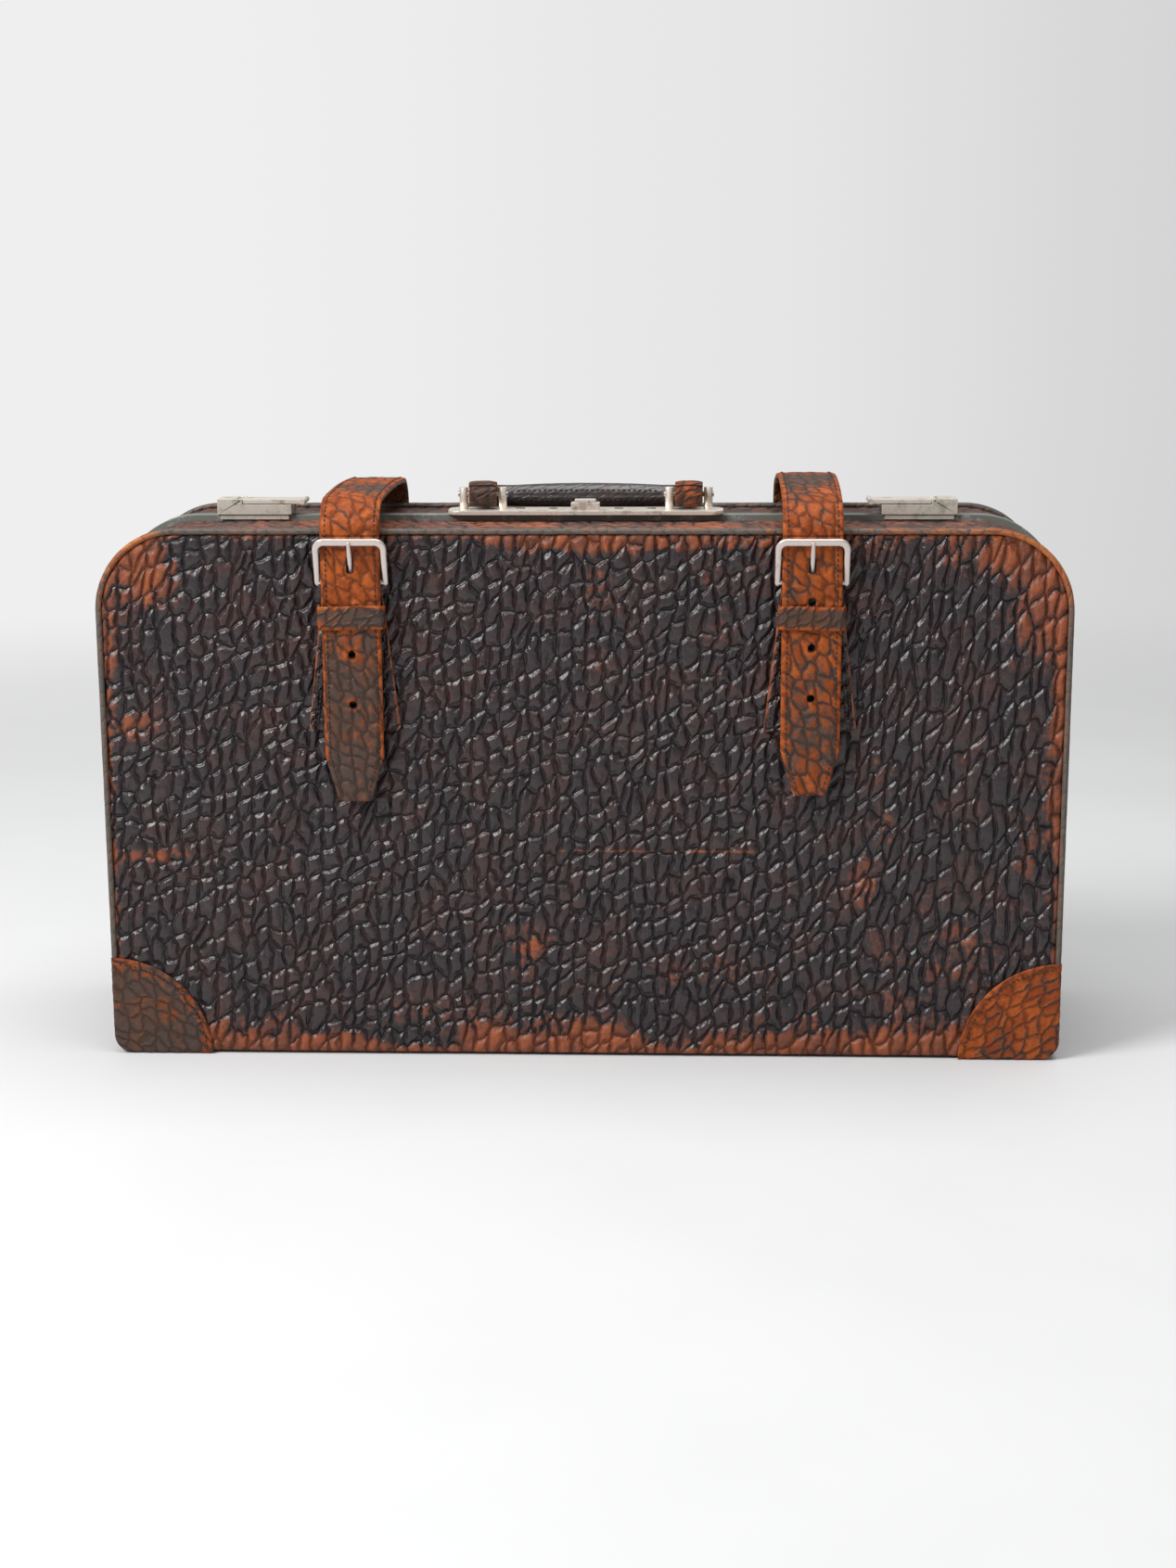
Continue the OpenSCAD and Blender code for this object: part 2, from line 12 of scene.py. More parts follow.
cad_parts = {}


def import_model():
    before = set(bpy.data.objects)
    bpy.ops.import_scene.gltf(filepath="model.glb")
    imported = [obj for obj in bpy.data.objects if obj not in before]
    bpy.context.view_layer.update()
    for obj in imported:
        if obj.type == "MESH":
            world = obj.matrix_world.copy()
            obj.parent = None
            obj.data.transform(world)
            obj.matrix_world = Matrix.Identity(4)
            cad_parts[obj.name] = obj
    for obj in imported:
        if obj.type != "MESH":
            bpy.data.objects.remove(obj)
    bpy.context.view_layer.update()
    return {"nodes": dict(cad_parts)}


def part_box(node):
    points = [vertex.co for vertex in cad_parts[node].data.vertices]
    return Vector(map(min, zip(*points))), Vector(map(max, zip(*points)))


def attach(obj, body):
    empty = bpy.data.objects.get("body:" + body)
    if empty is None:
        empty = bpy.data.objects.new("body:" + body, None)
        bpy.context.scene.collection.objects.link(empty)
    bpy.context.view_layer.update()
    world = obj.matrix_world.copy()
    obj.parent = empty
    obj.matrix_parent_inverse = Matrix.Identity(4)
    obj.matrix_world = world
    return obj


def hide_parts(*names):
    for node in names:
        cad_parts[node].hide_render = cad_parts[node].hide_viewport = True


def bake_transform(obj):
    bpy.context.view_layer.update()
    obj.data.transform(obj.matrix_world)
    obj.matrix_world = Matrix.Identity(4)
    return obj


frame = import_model()
nodes = frame["nodes"]

MM = 0.001
RIGHT = math.pi / 2


def box(node):
    """Lowest and highest corner of a CAD node, in millimetres."""
    low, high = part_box(node)
    return np.array(low) / MM, np.array(high) / MM


# The two halves and the two sides of the bag, and where they lie along Y and X
HALVES = {"front": -1, "rear": 1}
SIDES = {"left": -1, "right": 1}

# ---- driving sizes

PANEL_LOW, PANEL_HIGH = box("rear_panel")
WELT_LOW, WELT_HIGH = box("rear_welt")
GUSSET_LOW, GUSSET_HIGH = box("rear_gusset")
BOTTOM_LOW, BOTTOM_HIGH = box("rear_bottom")
LINING_LOW, LINING_HIGH = box("rear_lining")
HALF_W = WELT_HIGH[0]
TOP = WELT_HIGH[2]
FOOT = PANEL_LOW[2]
DEPTH = PANEL_HIGH[1]
PANEL_Y = PANEL_LOW[1]
WELT_W = HALF_W - PANEL_HIGH[0]
GUSSET_IN = HALF_W - GUSSET_HIGH[0]
# The lining stays this far inside its CAD node, clear of gusset and bottom
LINING_GAP = 1.6
LINING_IN = HALF_W - LINING_HIGH[0] + LINING_GAP
SIDE_FOOT = WELT_LOW[2]
CORNER_R = 54.0
FOOT_R = SIDE_FOOT - FOOT

# ---- noise


def noise(u, v, seed):
    """Smooth noise from 0 to 1 with one feature per unit."""
    table = np.random.default_rng(seed).random((256, 256))
    i, j = np.floor(u).astype(int), np.floor(v).astype(int)
    a, b = u - i, v - j
    a, b = a * a * (3 - 2 * a), b * b * (3 - 2 * b)
    i0, j0, i1, j1 = i % 256, j % 256, (i + 1) % 256, (j + 1) % 256
    low = table[i0, j0] * (1 - a) + table[i1, j0] * a
    high = table[i0, j1] * (1 - a) + table[i1, j1] * a
    return low * (1 - b) + high * b


def fbm(u, v, seed, octaves=3):
    total = sum(noise(u * 2**k, v * 2**k, seed + k) / 2**k for k in range(octaves))
    return total / (2 - 2 ** (1 - octaves))


def smooth(x, low, high):
    t = np.clip((x - low) / (high - low), 0, 1)
    return t * t * (3 - 2 * t)


def bump(x, middle, half):
    """1 at the middle, falling to 0 at half on each side."""
    return 1 - smooth(np.abs(x - middle), 0, half)


# ---- shader nodes


def add(tree, kind, inputs=None, **settings):
    made = tree.nodes.new(kind)
    for key, value in settings.items():
        setattr(made, key, value)
    for key, value in (inputs or {}).items():
        if isinstance(value, bpy.types.NodeSocket):
            tree.links.new(value, made.inputs[key])
        else:
            made.inputs[key].default_value = value
    return made


def math_node(tree, operation, a, b=0.0, c=0.0):
    return add(tree, "ShaderNodeMath", {0: a, 1: b, 2: c}, operation=operation).outputs[0]


def scaled(tree, value, share, plus):
    """A value times a share, plus another value."""
    return math_node(tree, "MULTIPLY_ADD", value, share, plus)



def step(tree, value, low, high, to_low=0.0, to_high=1.0):
    """Smooth step of a value between low and high."""
    return add(tree, "ShaderNodeMapRange",
               {"Value": value, "From Min": low, "From Max": high,
                "To Min": to_low, "To Max": to_high},
               interpolation_type="SMOOTHSTEP").outputs[0]


def mix(tree, factor, a, b):
    """Mix of two colours."""
    made = add(tree, "ShaderNodeMix", data_type="RGBA")
    for index, value in ((0, factor), (6, a), (7, b)):
        if isinstance(value, bpy.types.NodeSocket):
            tree.links.new(value, made.inputs[index])
        else:
            made.inputs[index].default_value = value if index == 0 else (*value, 1)
    return made.outputs[2]


def attribute(tree, name):
    return add(tree, "ShaderNodeAttribute", attribute_name=name)


def noise_node(tree, vector, scale, detail=3.0, rough=0.55):
    return add(tree, "ShaderNodeTexNoise",
               {"Vector": vector, "Scale": scale, "Detail": detail,
                "Roughness": rough}).outputs[0]


def voronoi(tree, vector, feature):
    """Pebbles, one per unit."""
    return add(tree, "ShaderNodeTexVoronoi",
               {"Vector": vector, "Scale": 1.0, "Randomness": RANDOMNESS},
               voronoi_dimensions="2D", feature=feature)


def object_place(tree):
    return add(tree, "ShaderNodeTexCoord").outputs["Object"]


def new_material(name):
    material = bpy.data.materials.new(name)
    material.use_nodes = True
    tree = material.node_tree
    return material, tree, tree.nodes["Principled BSDF"]


def finish_material(tree, shader, color, roughness, height=None, depth=0.0):
    """Links colour and roughness, and a bump whose depth is in metres."""
    tree.links.new(color, shader.inputs["Base Color"])
    if isinstance(roughness, bpy.types.NodeSocket):
        tree.links.new(roughness, shader.inputs["Roughness"])
    else:
        shader.inputs["Roughness"].default_value = roughness
    if height is not None:
        relief = add(tree, "ShaderNodeBump", {"Height": height, "Distance": depth})
        tree.links.new(relief.outputs[0], shader.inputs["Normal"])


# How far pebbles stray from even columns, and how steeply their cross creases rise
RANDOMNESS = 0.60
CREASE_RISE = 0.46

# Cut edges of leather, light and dark fibres
RAW_EDGE = (0.22, 0.092, 0.040)
RAW_EDGE_DARK = (0.10, 0.037, 0.018)

# All noise scales are in features per metre


def leather(name, dark, brown, worn, worn_deep, crease_shade, crease_shade_width=0.085,
            crease_shade_share=0.85, rough=0.46, worn_rough=0.54, relief_depth=0.0010,
            gloss=0.35, bank=0.12, hollow_shade=0.45, pillow_rise=0.8, bank_rise=0.6,
            cell_tint=0.25):
    """Shrunken-grain leather. The mesh holds its pebbles, wear and raw edges."""
    material, tree, shader = new_material(name)
    cell, rest = (attribute(tree, key).outputs["Vector"] for key in ("cell", "rest"))
    wear, rim = (attribute(tree, key).outputs["Fac"] for key in ("wear", "rim"))
    edge = voronoi(tree, cell, "DISTANCE_TO_EDGE").outputs["Distance"]
    tone = add(tree, "ShaderNodeSeparateColor",
               {0: voronoi(tree, cell, "F1").outputs["Color"]}).outputs[0]
    blotch = noise_node(tree, rest, 38.0, 4.0)
    lumps = noise_node(tree, rest, 130.0, 3.0)
    scuff = noise_node(tree, rest, 230.0, 4.0, 0.66)
    fibres = noise_node(tree, rest, 700.0, 3.0)
    grain = noise_node(tree, rest, 1300.0, 2.0)
    pebble = step(tree, edge, 0.0, bank)
    pillow = step(tree, edge, 0.0, 0.40)

    worn_by = scaled(tree, blotch, 0.9, wear)
    worn_by = scaled(tree, scuff, 1.3, worn_by)
    worn_by = scaled(tree, pebble, 0.22, worn_by)
    mask = step(tree, worn_by, 1.56, 1.94)
    old = mix(tree, step(tree, scaled(tree, scuff, 0.8, blotch), 0.80, 1.10), dark, brown)
    old = mix(tree, math_node(tree, "MULTIPLY", tone, cell_tint), old, brown)
    new = mix(tree, step(tree, scaled(tree, tone, 0.25, scuff), 0.42, 0.85), worn, worn_deep)
    color = mix(tree, mask, old, new)

    # Painted shade: the colour darkens towards the creases by the hollow share, and a thin dark
    # line of the crease colour runs along their bottoms, in place of the shade that falls in
    # them
    crease_shade_lines = math_node(tree, "MULTIPLY", step(tree, edge, crease_shade_width, 0.0), crease_shade_share)
    crease_shade_lines = math_node(tree, "MULTIPLY", crease_shade_lines, step(tree, lumps, 0.38, 0.60))
    color = mix(tree, step(tree, edge, 0.26, 0.0, 0.0, hollow_shade), color, crease_shade)
    color = mix(tree, crease_shade_lines, color, crease_shade)
    raw = mix(tree, step(tree, fibres, 0.35, 0.65), RAW_EDGE, RAW_EDGE_DARK)
    color = mix(tree, step(tree, rim, 0.25, 0.6), color, raw)

    dull = scaled(tree, scuff, 0.2, rough - 0.1)
    roughness = scaled(tree, mask, worn_rough - rough, dull)
    # Painted shade of reflections: the specular level drops towards the creases' bottoms, in
    # place of the reflections that their walls would block
    gloss_shaded_in_creases = scaled(tree, step(tree, edge, 0.0, bank / 3), gloss * 0.9, gloss * 0.1)
    tree.links.new(gloss_shaded_in_creases, shader.inputs["Specular IOR Level"])
    height = scaled(tree, pillow, pillow_rise, math_node(tree, "MULTIPLY", pebble, bank_rise))
    height = scaled(tree, lumps, 1.6, height)
    height = scaled(tree, grain, 0.05, height)
    finish_material(tree, shader, color, roughness, height, relief_depth)
    return material


def metal(name, color, stain, rough=0.34, stain_rough=0.5, stain_from=0.52, bright=0.62):
    """Old plated metal under a dull film: fine scratches, patches of tarnish."""
    material, tree, shader = new_material(name)
    patch = noise_node(tree, object_place(tree), 95.0, 5.0, 0.62)
    small = noise_node(tree, object_place(tree), 900.0, 3.0, 0.6)
    mask = step(tree, scaled(tree, small, 0.3, patch), stain_from + 0.13, stain_from + 0.33)
    shade = mix(tree, mask, color, stain)
    dull = scaled(tree, small, 0.16, rough - 0.08)
    roughness = scaled(tree, mask, stain_rough - rough, dull)
    shader.inputs["Metallic"].default_value = bright
    finish_material(tree, shader, shade, roughness, small, 0.00004)
    return material


def painted(name, color, chipped):
    """Satin paint, rubbed to bare metal in places."""
    material, tree, shader = new_material(name)
    patch = noise_node(tree, object_place(tree), 60.0, 5.0, 0.65)
    small = noise_node(tree, object_place(tree), 700.0, 3.0, 0.6)
    mask = step(tree, scaled(tree, small, 0.35, patch), 0.70, 0.86)
    shade = mix(tree, mask, color, chipped)
    finish_material(tree, shader, shade, scaled(tree, small, 0.2, 0.4), small, 0.00008)
    return material


def cloth(name, color, thread):
    """Plain woven lining."""
    material, tree, shader = new_material(name)
    rest = attribute(tree, "rest").outputs["Vector"]
    waves = [add(tree, "ShaderNodeTexWave",
                 {"Vector": rest, "Scale": 260.0, "Distortion": 0.6, "Detail": 1.0},
                 bands_direction=axis).outputs["Fac"] for axis in ("X", "Z")]
    weave = math_node(tree, "MULTIPLY", waves[0], waves[1])
    stain = noise_node(tree, rest, 22.0, 4.0)
    shade = mix(tree, weave, thread, color)
    shade = mix(tree, step(tree, stain, 0.5, 0.8, 0.0, 0.5), shade, thread)
    finish_material(tree, shader, shade, 0.85, weave, 0.00015)
    return material


def fibre_board(name, color, fleck):
    material, tree, shader = new_material(name)
    small = noise_node(tree, object_place(tree), 420.0, 4.0, 0.7)
    shade = mix(tree, step(tree, small, 0.4, 0.7), color, fleck)
    finish_material(tree, shader, shade, 0.8, small, 0.0001)
    return material


def thread_material(name, color, dirt):
    material, tree, shader = new_material(name)
    rest = attribute(tree, "rest").outputs["Vector"]
    spots = noise_node(tree, rest, 260.0, 2.0)
    twist = add(tree, "ShaderNodeTexWave",
                {"Vector": rest, "Scale": 900.0, "Distortion": 1.0},
                bands_direction="DIAGONAL").outputs["Fac"]
    shade = mix(tree, step(tree, spots, 0.4, 0.62), color, dirt)
    finish_material(tree, shader, shade, 0.7, twist, 0.00012)
    return material


# Painted shade: each leather's crease colour, with its width and share, and its hollow share
# darken its creases in place of the shade that falls in them
HIDE = leather("grain_hide", dark=(0.019, 0.0135, 0.016), brown=(0.046, 0.019, 0.017),
               worn=(0.31, 0.070, 0.016), worn_deep=(0.14, 0.034, 0.012),
               crease_shade=(0.003, 0.002, 0.002), crease_shade_width=0.045, crease_shade_share=0.30,
               rough=0.35, relief_depth=0.0009, gloss=0.55, bank=0.25,
               pillow_rise=0.7, bank_rise=1.1, cell_tint=0.1)
STRAP_HIDE = leather("strap_hide", dark=(0.070, 0.050, 0.042), brown=(0.11, 0.050, 0.030),
                     worn=(0.40, 0.088, 0.015), worn_deep=(0.23, 0.046, 0.009),
                     crease_shade=(0.036, 0.021, 0.016), crease_shade_width=0.11, crease_shade_share=0.40,
                     rough=0.44, worn_rough=0.50, relief_depth=0.0007, gloss=0.16,
                     bank=0.22, hollow_shade=0.36)
WELT_HIDE = leather("welt_hide", dark=(0.095, 0.085, 0.074), brown=(0.15, 0.095, 0.070),
                    worn=(0.42, 0.14, 0.040), worn_deep=(0.26, 0.075, 0.026),
                    crease_shade=(0.030, 0.022, 0.018), crease_shade_share=0.15, rough=0.5,
                    relief_depth=0.0003, gloss=0.3, hollow_shade=0.12)
TOP_HIDE = leather("gusset_hide", dark=(0.050, 0.036, 0.033), brown=(0.15, 0.060, 0.042),
                   worn=(0.34, 0.105, 0.048), worn_deep=(0.20, 0.065, 0.034),
                   crease_shade=(0.012, 0.007, 0.006), crease_shade_share=0.4, relief_depth=0.0005,
                   hollow_shade=0.25)
GRIP_HIDE = leather("grip_hide", dark=(0.034, 0.029, 0.031), brown=(0.052, 0.038, 0.036),
                    worn=(0.12, 0.050, 0.030), worn_deep=(0.08, 0.035, 0.02),
                    crease_shade=(0.014, 0.011, 0.011), crease_shade_share=0.12, rough=0.34,
                    relief_depth=0.00016, gloss=0.8, hollow_shade=0.10)
NICKEL = metal("old_nickel", (0.90, 0.83, 0.74), (0.42, 0.34, 0.25))
BUCKLE_NICKEL = metal("satin_nickel", (0.66, 0.575, 0.53), (0.34, 0.26, 0.21),
                      stain_from=0.60)
BASE_NICKEL = metal("tarnished_nickel", (0.70, 0.65, 0.57), (0.40, 0.40, 0.31),
                    rough=0.42, stain_rough=0.55, stain_from=0.50, bright=0.45)
STEEL = metal("dull_steel", (0.36, 0.35, 0.34), (0.12, 0.08, 0.055), rough=0.4,
              stain_rough=0.6, stain_from=0.45, bright=0.9)
FRAME_PAINT = painted("frame_paint", (0.150, 0.158, 0.138), (0.34, 0.32, 0.29))
BOARD = fibre_board("fibre_board", (0.36, 0.25, 0.14), (0.22, 0.14, 0.075))
LINING = cloth("lining_cloth", (0.40, 0.31, 0.20), (0.19, 0.13, 0.08))
THREAD = thread_material("thread", (0.060, 0.032, 0.022), (0.028, 0.017, 0.013))

# ---- meshes


def make_object(name, points, faces, material, **attributes):
    """A piece from points in millimetres, faces, and one value or vector per point.

    faces is an array where all faces have as many corners, else a list.
    """
    mesh = bpy.data.meshes.new(name)
    points = np.asarray(points, float)
    if isinstance(faces, np.ndarray):
        mesh.vertices.add(len(points))
        mesh.vertices.foreach_set("co", (points * MM).ravel())
        mesh.loops.add(faces.size)
        mesh.loops.foreach_set("vertex_index", faces.ravel().astype(np.int32))
        mesh.polygons.add(len(faces))
        starts = np.arange(0, faces.size, faces.shape[1], dtype=np.int32)
        mesh.polygons.foreach_set("loop_start", starts)
        mesh.update(calc_edges=True)
    else:
        mesh.from_pydata((points * MM).tolist(), [], [list(face) for face in faces])
    attributes["rest"] = points * MM
    for key, value in attributes.items():
        value = np.asarray(value, np.float32)
        kind = "FLOAT_VECTOR" if value.ndim == 2 else "FLOAT"
        layer = mesh.attributes.new(key, kind, "POINT")
        layer.data.foreach_set("vector" if value.ndim == 2 else "value", value.ravel())
    mesh.materials.append(material)
    mesh.validate()
    mesh.shade_smooth()
    obj = bpy.data.objects.new(name, mesh)
    bpy.context.scene.collection.objects.link(obj)
    return obj


def place(obj, body, slot, *replaced):
    """Rides obj on one body; given (a, b, start, end) instead, only bakes its transform."""
    if isinstance(body, str):
        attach(obj, body)
    else:
        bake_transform(obj)
    if replaced:
        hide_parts(*replaced)
    return obj


def grid_faces(rows, cols, close_rows=False, close_cols=False, start=0):
    """Quads of a grid of points, row after row."""
    i = np.arange(rows if close_rows else rows - 1)
    j = np.arange(cols if close_cols else cols - 1)
    i, j = (a.ravel() for a in np.meshgrid(i, j, indexing="ij"))
    i1, j1 = (i + 1) % rows, (j + 1) % cols
    return start + np.stack([i * cols + j, i * cols + j1, i1 * cols + j1, i1 * cols + j], 1)


def unit(v):
    return v / np.maximum(np.linalg.norm(v, axis=-1, keepdims=True), 1e-9)


def left_of(path):
    """Unit normals to the left of a flat path."""
    along = np.gradient(path, axis=0)
    return unit(np.stack([-along[:, 1], along[:, 0]], 1))


def facing(points, axis, value):
    """Normals that all point along one axis."""
    normals = np.zeros_like(points)
    normals[..., axis] = value
    return normals


def grid(*parts):
    """Values side by side on the grid that they share."""
    return np.stack(np.broadcast_arrays(*parts), -1)


def arc(x, y, r, start, stop, count):
    """Points on a circle about (x, y) from one angle to another."""
    a = np.linspace(start, stop, count)
    return np.stack([x + r * np.cos(a), y + r * np.sin(a)], 1)


def mirrored(path):
    """A flat path followed by its mirror image, back from its last point."""
    path = np.array(path)
    return np.concatenate([path, path[::-1] * [-1, 1]])


def border(rows, cols):
    """Indices round the border of a grid, in order."""
    top = np.arange(cols)
    right = np.arange(1, rows) * cols + cols - 1
    bottom = (rows - 1) * cols + np.arange(cols - 2, -1, -1)
    left = np.arange(rows - 2, 0, -1) * cols
    return np.concatenate([top, right, bottom, left])


def joined(loop, ring):
    """Quads between two closed rows of point indices."""
    return np.stack([np.roll(loop, -1), loop, ring, np.roll(ring, -1)], 1)


# Noise that pushes pebbles about: which way, how far, scale, octaves, offsets and seed
WARPS = ((0, 0.8, 0.45, 3, 7.1, 3.7, 11), (1, 1.4, 0.45, 3, 1.3, 9.2, 23),
         (0, 0.34, 2.1, 2, 2.2, 4.4, 31), (1, 0.34, 2.1, 2, 5.9, 8.3, 43))
# Pebble width and height of the pieces whose grain is not named with their sizes
FLAT_GRAIN = (11.0, 12.0)
FLAT_RELIEF = 0.5
KEEPER_GRAIN = (9.0, 8.0)
PATCH_GRAIN = (9.5, 9.0)
WELT_GRAIN = (6.0, 9.0)
ROLL_GRAIN = (8.0, 6.0)
GRIP_GRAIN = (13.0, 5.0)
END_GRAIN = (11.0, 6.5)
# Each piece takes its pebbles from another place of the pattern
SEED_SHIFT = (13.7, 5.3)


def cells_of(u, v, width, height, seed):
    """Surface coordinates in millimetres as pebble coordinates, one pebble per unit."""
    a, b = u / width, (v - CREASE_RISE * u) / height
    cell = [a, b, np.zeros_like(a)]
    for axis, reach, scale, octaves, da, db, more in WARPS:
        push = fbm(a * scale + da, b * scale + db, seed + more, octaves) - 0.5
        cell[axis] = cell[axis] + reach * push
    for axis, shift in enumerate(SEED_SHIFT):
        cell[axis] = cell[axis] + seed * shift
    return np.stack(cell, -1)


def cell_tree():
    """Geometry nodes that sample the pebbles that the leather shader draws."""
    tree = bpy.data.node_groups.new("pebbles", "GeometryNodeTree")
    for way in ("INPUT", "OUTPUT"):
        tree.interface.new_socket(name="Geometry", in_out=way,
                                  socket_type="NodeSocketGeometry")
    cell = add(tree, "GeometryNodeInputNamedAttribute", {"Name": "cell"},
               data_type="FLOAT_VECTOR").outputs["Attribute"]
    flow = add(tree, "NodeGroupInput").outputs[0]
    value = voronoi(tree, cell, "DISTANCE_TO_EDGE").outputs["Distance"]
    flow = add(tree, "GeometryNodeStoreNamedAttribute",
               {"Geometry": flow, "Name": "edge", "Value": value},
               data_type="FLOAT", domain="POINT").outputs[0]
    out = add(tree, "NodeGroupOutput")
    tree.links.new(flow, out.inputs[0])
    return tree


CELL_TREE = cell_tree()


def sample_pebbles(obj):
    """Distance to the pebbles' creases at each vertex, in pebbles."""
    modifier = obj.modifiers.new("pebbles", "NODES")
    modifier.node_group = CELL_TREE
    mesh = obj.evaluated_get(bpy.context.evaluated_depsgraph_get()).data
    edge = np.zeros(len(mesh.vertices), np.float32)
    mesh.attributes["edge"].data.foreach_get("value", edge)
    obj.modifiers.remove(modifier)
    return edge


def hide_object(name, points, normals, uv, faces, material, grain, wear, rim, sink):
    """A leather piece with its grain pressed into the mesh.

    grain is (pebble width, height, seed). sink gives the depth in millimetres at a
    distance from the nearest of the creases, which is in pebbles.
    """
    obj = make_object(name, points, faces, material, cell=cells_of(uv[:, 0], uv[:, 1], *grain),
                      wear=np.broadcast_to(wear, len(points)),
                      rim=np.broadcast_to(rim, len(points)))
    moved = points - normals * sink(sample_pebbles(obj))[:, None]
    obj.data.vertices.foreach_set("co", (moved * MM).ravel())
    obj.data.update()
    return obj


def domes(relief):
    """Sink of pebbles that stand up as domes."""
    def sink(edge):
        bank = 0.3 * (1 - np.exp(-edge / 0.10))
        return relief * (1 - bank - 0.7 * smooth(edge, 0, 0.42))
    return sink


def creases(depth, reach):
    """Sink of creases in a smooth face."""
    return lambda edge: depth * np.exp(-edge / reach)


# Share of the relief that is left at the border of a sheet
BORDER_RELIEF = 0.4


def thick_grid(points, normals, thickness, bulge=0.25, round_off=0.45, plain=()):
    """A sheet with thickness from the grid of its outer face.

    Returns points, normals, faces, rim values, relief amounts and source indices.
    plain holds the rows, 0 or -1, that have no rounded raw edge.
    """
    rows, cols = points.shape[:2]
    outer = points.reshape(-1, 3)
    n = normals.reshape(-1, 3)
    inner = outer - n * thickness
    loop = border(rows, cols)
    inward = np.zeros_like(points)
    inward[0], inward[-1] = points[1] - points[0], points[-2] - points[-1]
    inward[:, 0] += points[:, 1] - points[:, 0]
    inward[:, -1] += points[:, -2] - points[:, -1]
    outward = -unit(inward.reshape(-1, 3)[loop])
    raw = 1.0 - np.isin(loop // cols, [row % rows for row in plain])
    keep = raw[:, None]
    outer = outer.copy()
    middle = outer[loop] - n[loop] * thickness / 2 + outward * bulge * keep
    outer[loop] -= n[loop] * round_off * keep
    inner[loop] += n[loop] * round_off * 0.5 * keep
    count = rows * cols
    ring = 2 * count + np.arange(len(loop))
    faces = np.concatenate([grid_faces(rows, cols),
                            grid_faces(rows, cols, start=count)[:, ::-1],
                            joined(loop, ring), joined(ring, loop + count)])
    amount = np.ones(count)
    amount[loop] = BORDER_RELIEF
    return (np.concatenate([outer, inner, middle]), np.concatenate([n, -n, outward]), faces,
            np.concatenate([np.zeros(count), np.ones(count), raw]),
            np.concatenate([amount, np.zeros(count + len(loop))]),
            np.concatenate([np.arange(count), np.arange(count), loop]))


def strip(name, points, normals, uv, thickness, material, grain, relief, wear, plain=()):
    """A cut leather strip or patch with a raw edge all round."""
    p, n, faces, rim, amount, source = thick_grid(points, normals, thickness, plain=plain)
    worn = np.broadcast_to(wear, points.shape[:2]).reshape(-1)[source]
    return hide_object(name, p, n, uv.reshape(-1, 2)[source], faces, material, grain,
                       worn, rim, domes(relief * amount))


def distances(path):
    """Distance along a path at each of its points."""
    return np.concatenate([[0], np.cumsum(np.linalg.norm(np.diff(path, axis=0), axis=1))])


def resample(path, spacing):
    """The path again with evenly spaced points, and their distances along it."""
    path = np.asarray(path, float)
    gone = distances(path)
    at = np.linspace(0, gone[-1], max(2, int(round(gone[-1] / spacing)) + 1))
    return np.stack([np.interp(at, gone, column) for column in path.T], 1), at


STITCH_LENGTH = 2.2
STITCH_R = 0.46
STITCH_SINK = 0.10
STITCH_SIDES = 6
# Places along half a stitch and the share of its radius there
STITCH_SHAPE = ((-1.0, 0.25), (-0.72, 0.85), (0.0, 1.0), (0.72, 0.85), (1.0, 0.25))
STITCH_CAP = np.array([[0, 1, 2, 3], [0, 3, 4, 5]])


def stitches(name, path, normals, pitch=3.3):
    """Thread stitches along a path on a surface, as one piece."""
    gone = distances(path)
    turns = np.linspace(0, 2 * math.pi, STITCH_SIDES, endpoint=False)

    def at(values, distance):
        return np.array([np.interp(distance, gone, column) for column in values.T])

    points, faces = [], []
    for middle in np.arange(pitch / 2, gone[-1], pitch):
        along = unit(at(path, middle + 0.5) - at(path, middle - 0.5))
        up = unit(at(normals, middle))
        side = np.cross(along, up)
        start = len(points)
        for s, share in STITCH_SHAPE:
            centre = at(path, middle) + along * s * STITCH_LENGTH / 2
            centre = centre + up * (STITCH_R * (1 - 0.5 * s * s) - STITCH_SINK)
            points += [centre + (side * math.cos(a) + up * math.sin(a)) * STITCH_R * share
                       for a in turns]
        faces += [grid_faces(len(STITCH_SHAPE), STITCH_SIDES, close_cols=True, start=start),
                  start + STITCH_CAP[:, ::-1], len(points) - STITCH_SIDES + STITCH_CAP]
    return make_object(name, points, np.concatenate(faces), THREAD)


# Gap between a strip's edge and its row of stitches
STITCH_GAP = 3.2


def edge_stitching(name, middle, half, normals, body, gap=STITCH_GAP, ending="stitching"):
    """A row of stitches along each edge of a strip with this middle line."""
    for word, side in SIDES.items():
        path = middle + np.array([1.0, 0, 0]) * side * (half - gap)[:, None]
        place(stitches(f"{name}_{word}_{ending}", path, normals), body, "tan_hide")


# ---- outline of the bag


def rim_path(inset, spacing, whole=False):
    """Points (x, z) up the left side, over the top and down the right side, their
    outward normals and distances. whole adds the bottom and its corners."""
    half, top = HALF_W - inset, TOP - inset
    r, low_r = CORNER_R - inset, FOOT_R - inset
    up_left = arc(r - half, top - r, r, math.pi, RIGHT, 40)
    if not whole:
        points, at = resample(mirrored([[-half, SIDE_FOOT], *up_left]), spacing)
        return points, left_of(points), at
    right = arc(half - low_r, FOOT + low_r, low_r, 0, -RIGHT, 40)
    path = np.concatenate([mirrored(up_left), mirrored(right), up_left[:1]])
    points, at = resample(path, spacing)
    points, at = points[:-1], at[:-1]
    along = np.roll(points, -1, axis=0) - np.roll(points, 1, axis=0)
    return points, unit(np.stack([-along[:, 1], along[:, 0]], 1)), at


def lift(xz, y):
    """Points (x, z) at depth y."""
    return np.stack([xz[..., 0], np.broadcast_to(y, xz.shape[:-1]), xz[..., 1]], -1)


